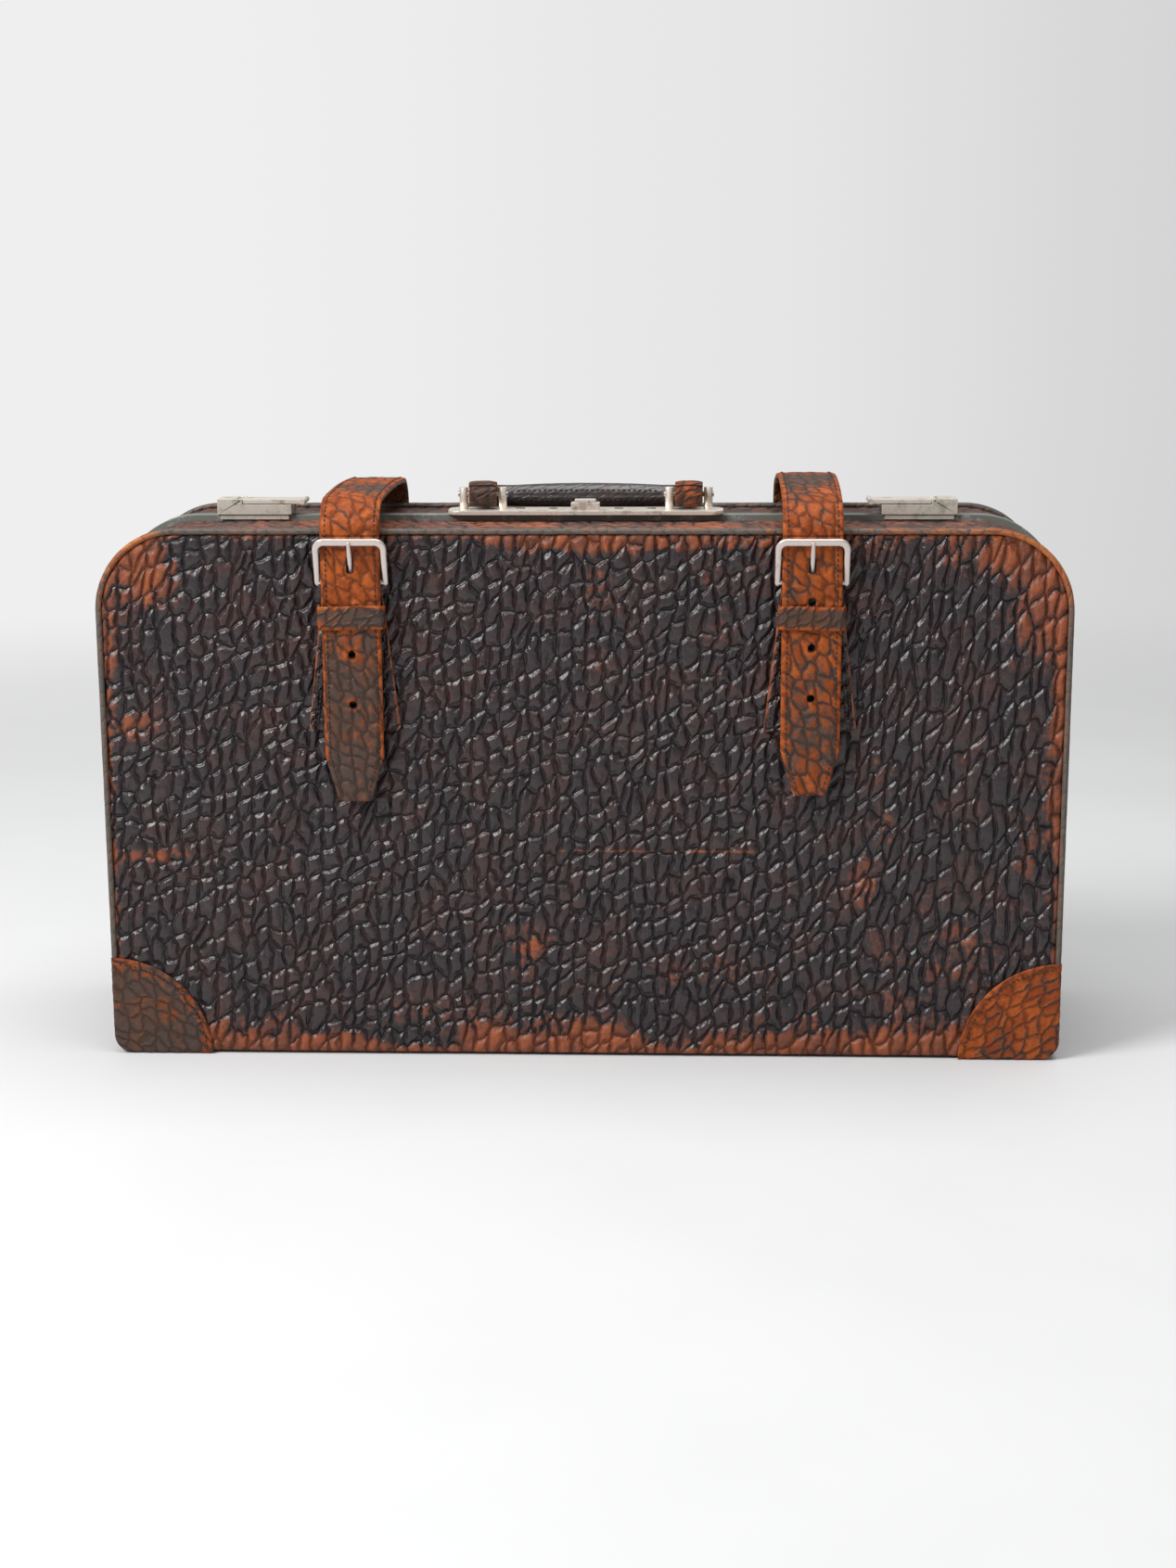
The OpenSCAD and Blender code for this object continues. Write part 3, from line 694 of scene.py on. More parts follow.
def half_width(z, inset):
    """Half the panel's width at a height."""
    top_r, low_r = CORNER_R - inset, FOOT_R - inset
    up = np.clip(z - (TOP - inset - top_r), 0, top_r)
    down = np.clip(FOOT + low_r - z, 0, low_r)
    return (HALF_W - inset - (top_r - np.sqrt(top_r**2 - up**2))
            - (low_r - np.sqrt(low_r**2 - down**2)))


def edge_distance(x, z, inset):
    """Distance from a point on the panel to the panel's nearest edge."""
    r = CORNER_R - inset
    side = HALF_W - inset - np.abs(x)
    top = TOP - inset - z
    corner = r - np.hypot(np.maximum(r - side, 0), np.maximum(r - top, 0))
    return np.minimum(np.minimum(corner, z - FOOT), np.minimum(side, top))


# ---- panels

# Worn places on the front panel: x, z, half width, half height, amount
FRONT_WEAR = [
    (-294, 226, 14, 10, 0.55), (-285, 136, 28, 5, 0.6), (196, 165, 8, 48, 0.45),
    (184, 118, 10, 30, 0.40), (-284, 324, 26, 22, 0.75), (290, 312, 20, 40, 0.62),
    (276, 338, 40, 12, 0.70), (307, 180, 5, 60, 0.55), (262, 92, 30, 18, 0.38),
    (10, 300, 16, 46, 0.30), (-36, 62, 12, 40, 0.38), (-30, 78, 34, 10, 0.34),
    (307, 250, 5, 60, 0.5), (-307, 280, 5, 50, 0.45), (292, 140, 10, 22, 0.5),
    (-6, 344, 52, 6, 0.85), (110, 344, 80, 5, 0.5), (150, 330, 40, 14, 0.28),
    (240, 60, 60, 40, 0.28), (80, 55, 60, 18, 0.30), (90, 300, 30, 30, 0.25),
]
# A long shallow scratch: x from, x to, z
SCRATCH = (-52, 122, 141.5)


def panel_wear(x, z, sign, seed):
    """Worn at the edges, most of all at the bottom, and in places."""
    d = edge_distance(x, z, WELT_W)
    wear = 0.50 * (1 - smooth(d, 0, 6)) + 0.10 * (1 - smooth(d, 6, 30))
    wear = wear + 0.34 * (1 - smooth(z, 4, 20)) + 0.06 * smooth(x, 60, 250)
    wear = wear + 0.52 * (1 - smooth(z, 10, 54)) * smooth(fbm(x / 60, z / 60, seed), 0.22, 0.55)
    patches = FRONT_WEAR
    if sign > 0:
        patches = [(-px, pz * 0.9 + 12, rx, rz, much * 0.8)
                   for px, pz, rx, rz, much in FRONT_WEAR[::2]]
    for px, pz, rx, rz, much in patches:
        d2 = ((x - px) / rx) ** 2 + ((z - pz) / rz) ** 2
        wear = np.maximum(wear, much * np.exp(-0.7 * d2) + 0.5 * wear)
    if sign < 0:
        x0, x1, z0 = SCRATCH
        line = bump(z, z0 + 1.5 * (fbm(x / 40, x * 0, seed) - 0.5), 1.6)
        along = smooth(x, x0, x0 + 60) * (1 - smooth(x, x1 - 10, x1))
        wear = np.maximum(wear, 0.75 * line * along)
    return wear


PANEL_RELIEF = 0.9
PANEL_GRAIN = (9.2, 13.6)
# Uneven swelling of the panels, and how deep and how wide they dip towards the welt
PANEL_SWELL = 0.9
PANEL_TUCK = 1.5
TUCK_REACH = 5.0
# The panel's turned edge ends this far outside the inner face of its CAD node
SKIRT_END = 0.6


def panel_piece(name, sign, seed, spacing):
    """Front (sign -1) or rear (sign 1) panel of pebbled leather."""
    top = TOP - WELT_W
    rows = int((top - FOOT) / spacing) + 1
    cols = int(2 * (HALF_W - WELT_W) / spacing) + 1
    z = np.linspace(FOOT, top, rows)[:, None] * np.ones((1, cols))
    x = np.linspace(-1, 1, cols)[None, :] * half_width(z, WELT_W)
    d = np.maximum(edge_distance(x, z, WELT_W), 0)
    swell = PANEL_SWELL * (fbm(x / 150, z / 120, seed + 3) - 0.5)
    tuck = PANEL_TUCK * (1 - np.clip(d / TUCK_REACH, 0, 1)) ** 2
    points = np.stack([x, sign * (DEPTH + swell - tuck), z], -1).reshape(-1, 3)
    uv = grid(x, z * (1 - 0.28 * smooth(x, 90, 300))).reshape(-1, 2)
    loop = border(rows, cols)
    skirt = points[loop].copy()
    skirt[:, 1] = sign * (PANEL_Y + SKIRT_END)
    ring = len(points) + np.arange(len(loop))
    faces = np.concatenate([grid_faces(rows, cols), joined(loop, ring)])
    if sign > 0:
        faces = faces[:, ::-1]
    source = np.concatenate([np.arange(len(points)), loop])
    relief = PANEL_RELIEF * (0.25 + 0.75 * smooth(d, 0, 7)).ravel()
    relief = np.concatenate([relief, np.zeros(len(loop))])
    wear = panel_wear(x, z, sign, seed).ravel()[source]
    all_points = np.concatenate([points, skirt])
    return hide_object(name, all_points, facing(all_points, 1, sign), uv[source], faces, HIDE,
                       (*PANEL_GRAIN, seed), wear, 0.0, domes(relief))


place(panel_piece("front_panel_hide", -1, 5, 1.56), "front_half", "hide", "front_panel")
place(panel_piece("rear_panel_hide", 1, 8, 2.0), "rear_half", "hide", "rear_panel")

# ---- gussets and bottoms

GUSSET_T = 1.7
GUSSET_SAG = 1.4
GUSSET_STEP = 2.0
BOTTOM_T = 3.4
BOTTOM_WEAR = 0.35
BOTTOM_STEP = 2.2
BAND_GRAIN = (9.0, 12.0)
BAND_RELIEF = 0.8


def band_piece(name, path, y, sign, seed, material, wear, thickness, sag=0.0):
    """Leather band over these depths, along an outline's points, normals and distances."""
    xz, out, at = path
    across = np.sin(math.pi * (y - y[0]) / (y[-1] - y[0]))
    soft = 1.2 * (fbm(at[:, None] / 55, y[None, :] / 40, seed + 2) - 0.5)
    inset = sag * np.maximum(across, 0) ** 0.7 - soft * across
    points = lift(xz[:, None] - out[:, None] * inset[..., None], sign * y)
    normals = lift(np.repeat(out[:, None], len(y), axis=1), 0.0)
    uv = grid(y[None, :], at[:, None])
    wear = np.broadcast_to(wear, points.shape[:2])
    if sign > 0:
        points, normals, uv, wear = (a[:, ::-1] for a in (points, normals, uv, wear))
    return strip(name, points, normals, uv, thickness, material, (*BAND_GRAIN, seed),
                 BAND_RELIEF, wear)


def gusset_wear(at, y, sign, seed):
    """More wear next to the welt and along the top of the front half."""
    length = at[-1]
    middle = np.abs(at - length / 2)[:, None] / (length / 2)
    wear = 0.34 * (1 - smooth(middle, 0.25, 0.62)) + 0.30 * smooth(y[None, :], 50, 79)
    wear = wear + 0.3 * smooth(fbm(at[:, None] / 70, y[None, :] / 50, seed), 0.5, 0.8)
    return wear if sign < 0 else 0.25 * wear - 0.1


def depths(low, high, spacing):
    """Evenly spaced places in Y between two corners of a box."""
    return np.linspace(low[1], high[1], int((high[1] - low[1]) / spacing) + 1)


def gusset_piece(name, sign, seed):
    path = rim_path(GUSSET_IN, GUSSET_STEP)
    y = depths(GUSSET_LOW, GUSSET_HIGH, GUSSET_STEP)
    return band_piece(name, path, y, sign, seed, TOP_HIDE, gusset_wear(path[2], y, sign, seed),
                      GUSSET_T, GUSSET_SAG)


def bottom_piece(name, sign, seed):
    """Bottom of one half, turned up at both ends."""
    low_r, half = FOOT_R - GUSSET_IN, HALF_W - GUSSET_IN
    right = arc(half - low_r, FOOT + low_r, low_r, 0, -RIGHT, 12)
    xz, at = resample(mirrored([[half, SIDE_FOOT], *right]), BOTTOM_STEP)
    y = depths(BOTTOM_LOW, BOTTOM_HIGH, BOTTOM_STEP)
    return band_piece(name, (xz, left_of(xz), at), y, sign, seed, HIDE, BOTTOM_WEAR, BOTTOM_T)


for half, sign, seed in (("front", -1, 21), ("rear", 1, 34)):
    place(gusset_piece(half + "_gusset_hide", sign, seed), half + "_half", "top_hide",
          half + "_gusset")
    place(bottom_piece(half + "_bottom_hide", sign, seed + 3), half + "_half", "hide",
          half + "_bottom")

# ---- welts

WELT_SIDES = 14
WELT_RISE = 1.9
# The roll is this much fatter than its CAD node and stands this much further out
WELT_FAT = 0.25
# Depth of the creases in smooth leather, and how wide they are in pebbles
WELT_CREASES = (0.12, 0.2)


def welt_wear(xz, sign):
    """Tan at the round top corners, dark along the sides."""
    x, z = xz[:, 0], xz[:, 1]
    corner = np.exp(-(((np.abs(x) - 292) / 30) ** 2) - ((z - 335) / 28) ** 2)
    wear = 0.85 * corner + 0.42 * smooth(x, 40, 230) * smooth(z, 340, 350)
    wear = wear + 0.25 * smooth(fbm(x / 60, z / 60, 77), 0.5, 0.75)
    return wear if sign < 0 else 0.2 * wear - 0.1


def welt_piece(name, sign, seed):
    """Rolled welt between panel and gusset."""
    xz, out, at = rim_path(WELT_W / 2, 1.6)
    a = np.linspace(0, 2 * math.pi, WELT_SIDES, endpoint=False)
    radius = 1 + 0.08 * (fbm(at / 14, at * 0, seed) - 0.5)[:, None]
    across = (WELT_W / 2 + WELT_FAT) * radius * np.cos(a)
    middle_y = (WELT_LOW[1] + WELT_HIGH[1]) / 2 + WELT_FAT
    points = lift(xz[:, None] + out[:, None] * across[..., None],
                  sign * (middle_y + WELT_RISE * radius * np.sin(a)))
    normals = unit(lift(out[:, None] * np.cos(a)[None, :, None], sign * np.sin(a)[None, :]))
    count = len(at) * WELT_SIDES
    first, after = np.arange(WELT_SIDES), np.roll(np.arange(WELT_SIDES), -1)
    last = count - WELT_SIDES
    hub = np.full(WELT_SIDES, count)
    caps = np.concatenate([np.stack([hub, first, after], 1),
                           np.stack([hub + 1, last + after, last + first], 1)])
    faces = grid_faces(len(at), WELT_SIDES, close_cols=True)
    if sign > 0:
        faces, caps = faces[:, ::-1], caps[:, [0, 2, 1]]
    u = np.append(np.tile(a * WELT_RISE, len(at)), [0, 0])
    v = np.append(np.repeat(at, WELT_SIDES), [0, 0])
    wear = np.append(np.repeat(welt_wear(xz, sign), WELT_SIDES), [0, 0])
    return hide_object(
        name, np.concatenate([points.reshape(-1, 3), lift(xz[[0, -1]], sign * middle_y)]),
        np.concatenate([normals.reshape(-1, 3), [[0, 0, -1], [0, 0, -1]]]), grid(u, v),
        [*faces, *caps], WELT_HIDE, (*WELT_GRAIN, seed), wear, 0.0,
        creases(*WELT_CREASES))


place(welt_piece("front_welt_roll", -1, 41), "front_half", "welt_hide", "front_welt")
place(welt_piece("rear_welt_roll", 1, 47), "rear_half", "welt_hide", "rear_welt")

# ---- corner patches

PATCH_LOW, PATCH_HIGH = box("rear_corner_right")
PATCH_R = PATCH_HIGH[2]
PATCH_T = PATCH_HIGH[1] - DEPTH
PATCH_OUT = PATCH_HIGH[0] - HALF_W
PATCH_Y = PATCH_LOW[1]
PATCH_EDGE_R = 2.6
# Columns of a patch's grid on the panel, over the edge and on the side
PATCH_COLS = (40, 5, 18)
PATCH_SEAM = 3.6
PATCH_STEP = 1.7
PATCH_RELIEF = 0.45
# How deep the inside and the edge of a patch reach into the panel
PATCH_INSIDE = 0.9
PATCH_SUNK = 0.4
# How worn a patch is: the front right one most
PATCH_WEAR = {"front_right": 0.38}
PATCH_WEAR_ELSE = -0.03


def corner_piece(name, side, sign, seed, wear_level):
    """Patch from its round edge on the panel, over the outline, onto side and bottom."""
    half, low_r = HALF_W + PATCH_OUT, FOOT_R + 0.5
    xz, at = resample([[half, PATCH_R], *arc(half - low_r, low_r, low_r, 0, -RIGHT, 14),
                       [HALF_W - PATCH_R, 0.05]], PATCH_STEP)
    out = left_of(xz)
    turn = RIGHT * (1 + at / at[-1])
    start = np.stack([HALF_W + PATCH_R * np.cos(turn), PATCH_R * np.sin(turn)], 1)
    start[0], start[-1] = xz[0] + [-0.4, 0], xz[-1] + [0, 0.4]

    face_y = DEPTH + PATCH_T
    face_cols, bend_cols, side_cols = PATCH_COLS
    fan = np.linspace(0, 1, face_cols)[None, :, None]
    edge = xz - out * PATCH_EDGE_R
    reach = np.linalg.norm(edge - start, axis=1)
    edge = np.where((reach < 3)[:, None], start * 0.5 + edge * 0.5, edge)
    face = lift(start[:, None] * (1 - fan) + edge[:, None] * fan, face_y)
    bends = np.linspace(0, RIGHT, bend_cols + 2)[1:-1]
    bend = [lift(xz - out * PATCH_EDGE_R * (1 - math.sin(a)),
                 face_y - PATCH_EDGE_R * (1 - math.cos(a))) for a in bends]
    wrap = [lift(xz, y) for y in np.linspace(face_y - PATCH_EDGE_R, PATCH_Y, side_cols)]
    points = np.concatenate([face, np.stack(bend, 1), np.stack(wrap, 1)], axis=1)
    normals = facing(points, 1, 0.0)
    normals[:, :face_cols, 1] = 1
    for k, a in enumerate(bends):
        normals[:, face_cols + k] = lift(out * math.sin(a), math.cos(a))
    normals[:, face_cols + bend_cols:] = lift(out, 0.0)[:, None]

    uv = points[..., ::2] + (DEPTH - points[..., 1:2]) * np.abs(normals[..., ::2])
    centre_d = np.hypot(points[..., 0] - HALF_W, points[..., 2])
    wear = wear_level + 0.3 * smooth(centre_d, 54, 64) + 0.25 * smooth(points[..., 1], 74, 84)
    points, normals = points * [side, sign, 1], normals * [side, sign, 1]
    if side * sign > 0:
        points, normals, uv, wear = (a[::-1] for a in (points, normals, uv, wear))
    p, n, faces, rim, amount, source = thick_grid(points, normals, PATCH_OUT, bulge=0.0,
                                                  round_off=0.25)
    # On the panel the patch lies on the hide: its inside and edges end just below it
    count = wear.size
    deep = np.abs(n[source][:, 1]) > 0.9
    index = np.arange(len(p))
    p[deep & (index >= count), 1] = sign * (DEPTH - PATCH_INSIDE)
    p[deep & (index >= 2 * count), 1] = sign * (DEPTH - PATCH_SUNK)
    patch = hide_object(name, p, n, uv.reshape(-1, 2)[source], faces, STRAP_HIDE,
                        (*PATCH_GRAIN, seed), wear.reshape(-1)[source], rim * 0.9,
                        domes(PATCH_RELIEF * amount))
    seam = arc(HALF_W, 0, PATCH_R - PATCH_SEAM, math.radians(94), math.radians(176), 60)
    seam = lift(seam * [side, 1], sign * (face_y - 0.1))
    return patch, stitches(name + "_stitching", seam, facing(seam, 1, sign))


for half, sign in HALVES.items():
    for word, side in SIDES.items():
        level = PATCH_WEAR.get(f"{half}_{word}", PATCH_WEAR_ELSE)
        patch, thread = corner_piece(f"{half}_{word}_corner_patch", side, sign,
                                     51 + 3 * side + 7 * sign, level)
        place(patch, half + "_half", "tan_hide", f"{half}_corner_{word}")
        place(thread, half + "_half", "tan_hide")

# ---- straps

STRAP_T = 3.5
STRAP_BEND = 22.0
# The strap's face starts this far inside its CAD face and crowns up again
STRAP_SET = 0.3
STRAP_CROWN = 0.5
STRAP_GRAIN = (9.0, 10.5)
STRAP_RELIEF = 0.35
STRAP_STEP = 1.5
# Where the front bend starts, behind and above the split, and how far below it ends
BEND_START = (34.0, 24.0)
BEND_END = 14.0
# Where the rear bend of a strap starts and ends, in Y and Z from its rear and split
REAR_BEND = ((3, -26), (-15, 13))
TAIL_STEP = 1.25
TAPER_H = 30.0
TIP_HALF = 10.5
TIP_ROUND = 3.0
HOLE_R = 2.3
HOLES_UP = (64, 97, 126)
SLOT_R = 2.1
SLOT_HALF = 3.2
SLOT_UP = 26.0
# How much more worn a strap is at its front, how worn its tail starts and how much it loses
OVER_WEAR = {"left": 0.60, "right": 0.46}
TAIL_WEAR = {"left": (0.80, 0.62), "right": (0.66, 0.22)}
# How deep the leather dips and how worn it is round a hole
HOLE_DIP = 0.55
HOLE_WEAR = 0.4


def strap_facts(word):
    low, high = box(f"{word}_strap")
    tail_low, tail_high = box(f"{word}_strap_tail")
    return {"x": (low[0] + high[0]) / 2, "half": (high[0] - low[0]) / 2,
            "front": low[1] + STRAP_T / 2, "rear": high[1] - STRAP_T / 2,
            "apex": high[2] - STRAP_T / 2, "end": low[2], "split": tail_high[2],
            "tip": tail_low[2]}


def strap_line(s):
    """Middle line of a strap in Y and Z, from its rear end to the split at the front."""
    middle = (s["front"] + s["rear"]) / 2
    half = (s["rear"] - s["front"]) / 2 - STRAP_BEND
    angle = 2 * math.atan((s["apex"] - s["split"] - STRAP_BEND) / half)
    radius = STRAP_BEND + half / math.sin(angle)
    low, high = RIGHT - angle, RIGHT + angle
    parts = [[[s["rear"], s["end"]]],
             arc(middle + half, s["split"], STRAP_BEND, 0, low, 40),
             arc(middle, s["apex"] - radius, radius, low, high, 40)[1:-1],
             arc(middle - half, s["split"], STRAP_BEND, high, math.pi, 40)]
    return resample(np.concatenate(parts), STRAP_STEP)


def strap_wear(u, v, level, seed):
    """u across from -1 to 1, v down from the split in millimetres."""
    wear = level + 0.55 * smooth(np.abs(u), 0.80, 0.98)
    return wear + 0.35 * (fbm(u * 1.5 + 3, v / 45, seed) - 0.5)


def bend_body(word, s):
    """The bodies at both ends of a strap's front bend, and where that bend starts and ends."""
    y, z = BEND_START
    return (f"{word}_strap_over", f"{word}_strap_end",
            (s["x"], s["front"] + y, s["split"] + z),
            (s["x"], s["front"], s["split"] - BEND_END))


def strap_over(word, side):
    s = strap_facts(word)
    line, at = strap_line(s)
    out = -left_of(line)
    across = np.linspace(-1, 1, int(2 * s["half"] / STRAP_STEP) + 1)
    crown = STRAP_CROWN * (1 - across**2)
    outer = line + out * STRAP_T / 2
    points = np.zeros((len(line), len(across), 3))
    points[..., 0] = s["x"] + s["half"] * across
    points[..., 1:] = outer[:, None] + out[:, None] * (crown[None, :, None] - STRAP_SET)
    normals = np.zeros_like(points)
    normals[..., 1:] = out[:, None]
    uv = grid(s["half"] * across, (at - at[-1])[:, None])
    v = uv[..., 1]
    level = 0.22 + OVER_WEAR[word] * smooth(v, -220, -60)
    level = level - 0.55 * np.exp(-(((v + 75) / 24) ** 2))
    wear = strap_wear(uv[..., 0] / s["half"], v, level, 61 + side)
    thread = facing(points[:, 0], 0, s["x"])
    thread[:, 1:] = outer + out * (STRAP_CROWN * (1 - 0.83**2) - 2 * STRAP_SET)
    thread_n = normals[:, 0]
    over = ("rear_half", f"{word}_strap_over",
            *((s["x"], s["rear"] + y, s["split"] + z) for y, z in REAR_BEND))
    seam = int(np.argmax(line[:, 0] < s["front"] + BEND_START[0]))
    for part, rows, body, plain, node in (
            ("strap", slice(0, seam + 1), over, (-1,), [f"{word}_strap"]),
            ("bend", slice(seam, None), bend_body(word, s), (0, -1), [])):
        obj = strip(f"{word}_{part}_leather", points[rows, ::-1], normals[rows, ::-1],
                    uv[rows, ::-1], STRAP_T, STRAP_HIDE, (*STRAP_GRAIN, 65 + side),
                    STRAP_RELIEF, wear[rows, ::-1], plain)
        place(obj, body, "tan_hide", *node)
        half = np.full(len(thread[rows]), s["half"])
        edge_stitching(f"{word}_{part}", thread[rows], half, thread_n[rows], body)


def cut_holes(obj, holes):
    """Cuts round holes along Y. holes is a list of (x, z, radius, half slot height)."""
    work = bmesh.new()
    for x, z, r, slot in holes:
        ring = [(x + r * math.cos(a), z + r * math.sin(a) + math.copysign(slot, math.sin(a)))
                for a in np.linspace(0, 2 * math.pi, 28, endpoint=False) + 0.11]
        near, far = ([work.verts.new((px * MM, y * MM, pz * MM)) for px, pz in ring]
                     for y in (-110, -60))
        work.faces.new(near)
        work.faces.new(far[::-1])
        for k in range(len(ring)):
            n = (k + 1) % len(ring)
            work.faces.new((near[n], near[k], far[k], far[n]))
    bmesh.ops.recalc_face_normals(work, faces=work.faces)
    tool_mesh = bpy.data.meshes.new("punch")
    work.to_mesh(tool_mesh)
    work.free()
    tool = bpy.data.objects.new("punch", tool_mesh)
    bpy.context.scene.collection.objects.link(tool)
    cut = obj.modifiers.new("holes", "BOOLEAN")
    cut.operation, cut.object, cut.solver = "DIFFERENCE", tool, "EXACT"
    done = bpy.data.meshes.new_from_object(
        obj.evaluated_get(bpy.context.evaluated_depsgraph_get()))
    obj.modifiers.remove(cut)
    obj.data = done
    bpy.data.objects.remove(tool)


def strap_tail(word, side):
    s = strap_facts(word)
    z = np.linspace(s["split"], s["tip"], int((s["split"] - s["tip"]) / TAIL_STEP) + 1)
    across = np.linspace(-1, 1, int(2 * s["half"] / TAIL_STEP) + 1)
    share = np.clip((s["tip"] + TAPER_H - z) / TAPER_H, 0, 1)
    half = s["half"] + (TIP_HALF - s["half"]) * share
    tip_round = np.clip((s["tip"] + TIP_ROUND - z) / TIP_ROUND, 0, 1)
    half = half - 2.2 * (1 - np.sqrt(1 - tip_round**2))
    u = half[:, None] * across
    v = (s["split"] - z)[:, None]
    y = s["front"] - STRAP_T / 2 - (STRAP_CROWN * (1 - across**2) - STRAP_SET)
    level, loss = TAIL_WEAR[word]
    wear = strap_wear(u / s["half"], v + 0 * u, level - loss * smooth(v, 34, 90), 61 + side)
    for up in HOLES_UP:
        d = np.hypot(u, z[:, None] - s["tip"] - up)
        y = y - HOLE_DIP * bump(d, HOLE_R + 1.6, 2.6)
        wear = wear + HOLE_WEAR * bump(d, HOLE_R + 1.2, 2.6)
    points = grid(s["x"] + u, y, z[:, None])
    obj = strip(f"{word}_tail_leather", points[:, ::-1], facing(points, 1, -1),
                grid(u, v)[:, ::-1], STRAP_T, STRAP_HIDE, (*STRAP_GRAIN, 65 + side),
                STRAP_RELIEF, wear[:, ::-1], (0,))
    holes = [(s["x"], s["tip"] + up, HOLE_R, 0) for up in HOLES_UP]
    cut_holes(obj, [*holes, (s["x"], box(f"{word}_keeper")[1][2] + SLOT_UP, SLOT_R, SLOT_HALF)])
    body = bend_body(word, s)
    place(obj, body, "tan_hide", f"{word}_strap_tail")
    keep = z > s["tip"] + 4
    thread = grid(s["x"], s["front"] - STRAP_T / 2 + STRAP_SET, z)[keep]
    edge_stitching(f"{word}_tail", thread, half[keep], facing(thread, 1, -1), body)


for word, side in SIDES.items():
    strap_over(word, side)
    strap_tail(word, side)

# ---- keepers and chapes

KEEPER_T = 2.2
KEEPER_R = 3.4
CHAPE_T = 2.3
CHAPE_TOP_HALF = 18.5
CHAPE_STITCH_GAPS = (2.6, 5.4)
# The bar of a buckle lies this far in front of the panel and below the top of its chape
BAR_OUT = 2.7
BAR_DOWN = 2.6
# Leather rolled round the bar: from and to in X on each side of the prong, its inner and
# outer radius, and how far its middle lies behind the front of the chape
LOOP_SPAN = (2.9, 18.3)
LOOP_TUBE_R = (2.05, 2.75)
LOOP_TUBE_IN = 2.6
FLARE_STEP = 1.4


def keeper_piece(word, side):
    low, high = box(f"{word}_keeper")
    x, half, r = (low[0] + high[0]) / 2, (high[0] - low[0]) / 2, KEEPER_R
    left = arc(r - half, low[1] + r, r, math.pi, 3 * RIGHT, 10)
    path, at = resample(mirrored([[-half, high[1]], *left]) + [x, 0], 1.3)
    z = np.linspace(low[2], high[2], 12)
    wobble = 0.35 * side * np.sin(at / 9)[:, None]
    points = np.zeros((len(at), len(z), 3))
    points[..., :2] = path[:, None]
    points[..., 2] = z + wobble
    normals = np.zeros_like(points)
    normals[..., :2] = -left_of(path)[:, None]
    share = np.abs(z - z.mean()) / (z[-1] - z[0]) * 2
    middle = np.abs(at - at[-1] / 2)[:, None] / (at[-1] / 2)
    wear = 0.10 + 0.75 * smooth(share, 0.62, 1.0) + 0.35 * smooth(middle, 0.45, 0.75)
    obj = strip(f"{word}_keeper_leather", points, normals, grid(at[:, None], z), KEEPER_T,
                STRAP_HIDE, (*KEEPER_GRAIN, 81 + side), FLAT_RELIEF, wear)
    place(obj, "front_half", "tan_hide", f"{word}_keeper")


def flared(low, high, top, top_half, rounding):
    """Heights, half widths and places across a piece that narrows from a rounded foot."""
    foot_half = (high[0] - low[0]) / 2
    z = np.linspace(low[2], top, int((top - low[2]) / FLARE_STEP) + 1)
    half = foot_half + (top_half - foot_half) * (z - low[2]) / (top - low[2])
    foot_round = np.clip((low[2] + 3 - z) / 3, 0, 1)
    half = half - rounding * (1 - np.sqrt(1 - foot_round**2))
    return z, half, np.linspace(-1, 1, int(2 * foot_half / FLARE_STEP) + 1)


def buckle_bar(word):
    """Middle of the bar that a buckle and its prong turn on."""
    low, high = box(f"{word}_chape")
    return np.array([(low[0] + high[0]) / 2, -DEPTH - BAR_OUT, high[2] - BAR_DOWN])


def chape_piece(word, side):
    low, high = box(f"{word}_chape")
    x, _, bar_z = buckle_bar(word)
    z, half, across = flared(low, high, bar_z, CHAPE_TOP_HALF, 2.0)
    u = half[:, None] * across
    points = grid(x + u, -DEPTH - 2.3 - 0.35 * (1 - across**2), z[:, None])
    wear = 0.02 + 0.9 * smooth(np.abs(across), 0.93, 1) + (0.10 if side > 0 else 0.0)
    wear = wear + 0.2 * (1 - smooth(z, low[2], low[2] + 6))[:, None]
    obj = strip(f"{word}_chape_leather", points, facing(points, 1, -1), grid(u, z[:, None]),
                CHAPE_T, HIDE, (*FLAT_GRAIN, 91 + side), FLAT_RELIEF, wear)
    place(obj, "front_half", "tan_hide", f"{word}_chape")
    keep = z > low[2] + 4
    thread = grid(x, -DEPTH - 2.35, z)[keep]
    for gap in CHAPE_STITCH_GAPS:
        edge_stitching(f"{word}_chape", thread, half[keep], facing(thread, 1, -1),
                       "front_half", gap, int(gap))
    for end, edge in SIDES.items():
        loop_tube(f"{word}_chape_loop_{end}", sorted(x + edge * reach for reach in LOOP_SPAN),
                  low[1] + LOOP_TUBE_IN, bar_z)


def loop_tube(name, span, y, z):
    """Leather rolled round the buckle's bar."""
    inner, outer = LOOP_TUBE_R
    x = np.linspace(*span, 14)
    turn = np.linspace(math.radians(250), math.radians(-15), 30)[:, None]
    normals = grid(0 * x, -np.sin(turn), -np.cos(turn))
    points = grid(x, y, z) + outer * normals
    obj = strip(name, points, normals, grid(x, np.degrees(turn) * 0.05), outer - inner,
                STRAP_HIDE, (*ROLL_GRAIN, 95), 0.2, 0.35)
    place(obj, "front_half", "tan_hide")


for word, side in SIDES.items():
    keeper_piece(word, side)
    chape_piece(word, side)

# ---- buckles and prongs

BUCKLE_TILT = math.radians(18)
BUCKLE_TOP = 30.5
BUCKLE_FOOT = -2.3
BUCKLE_R = 5.6
# Width of the frame's bars as drawn in CAD, half its opening and half its thickness
BUCKLE_W = 4.6
BUCKLE_INNER = 19.9
BUCKLE_HALF_T = 1.55
ROD_R = 1.58
PRONG_LIFT = math.radians(6.5)
PRONG_UP = (2.4, 29.6)
PRONG_R = 1.35
PRONG_RING_R = 2.2


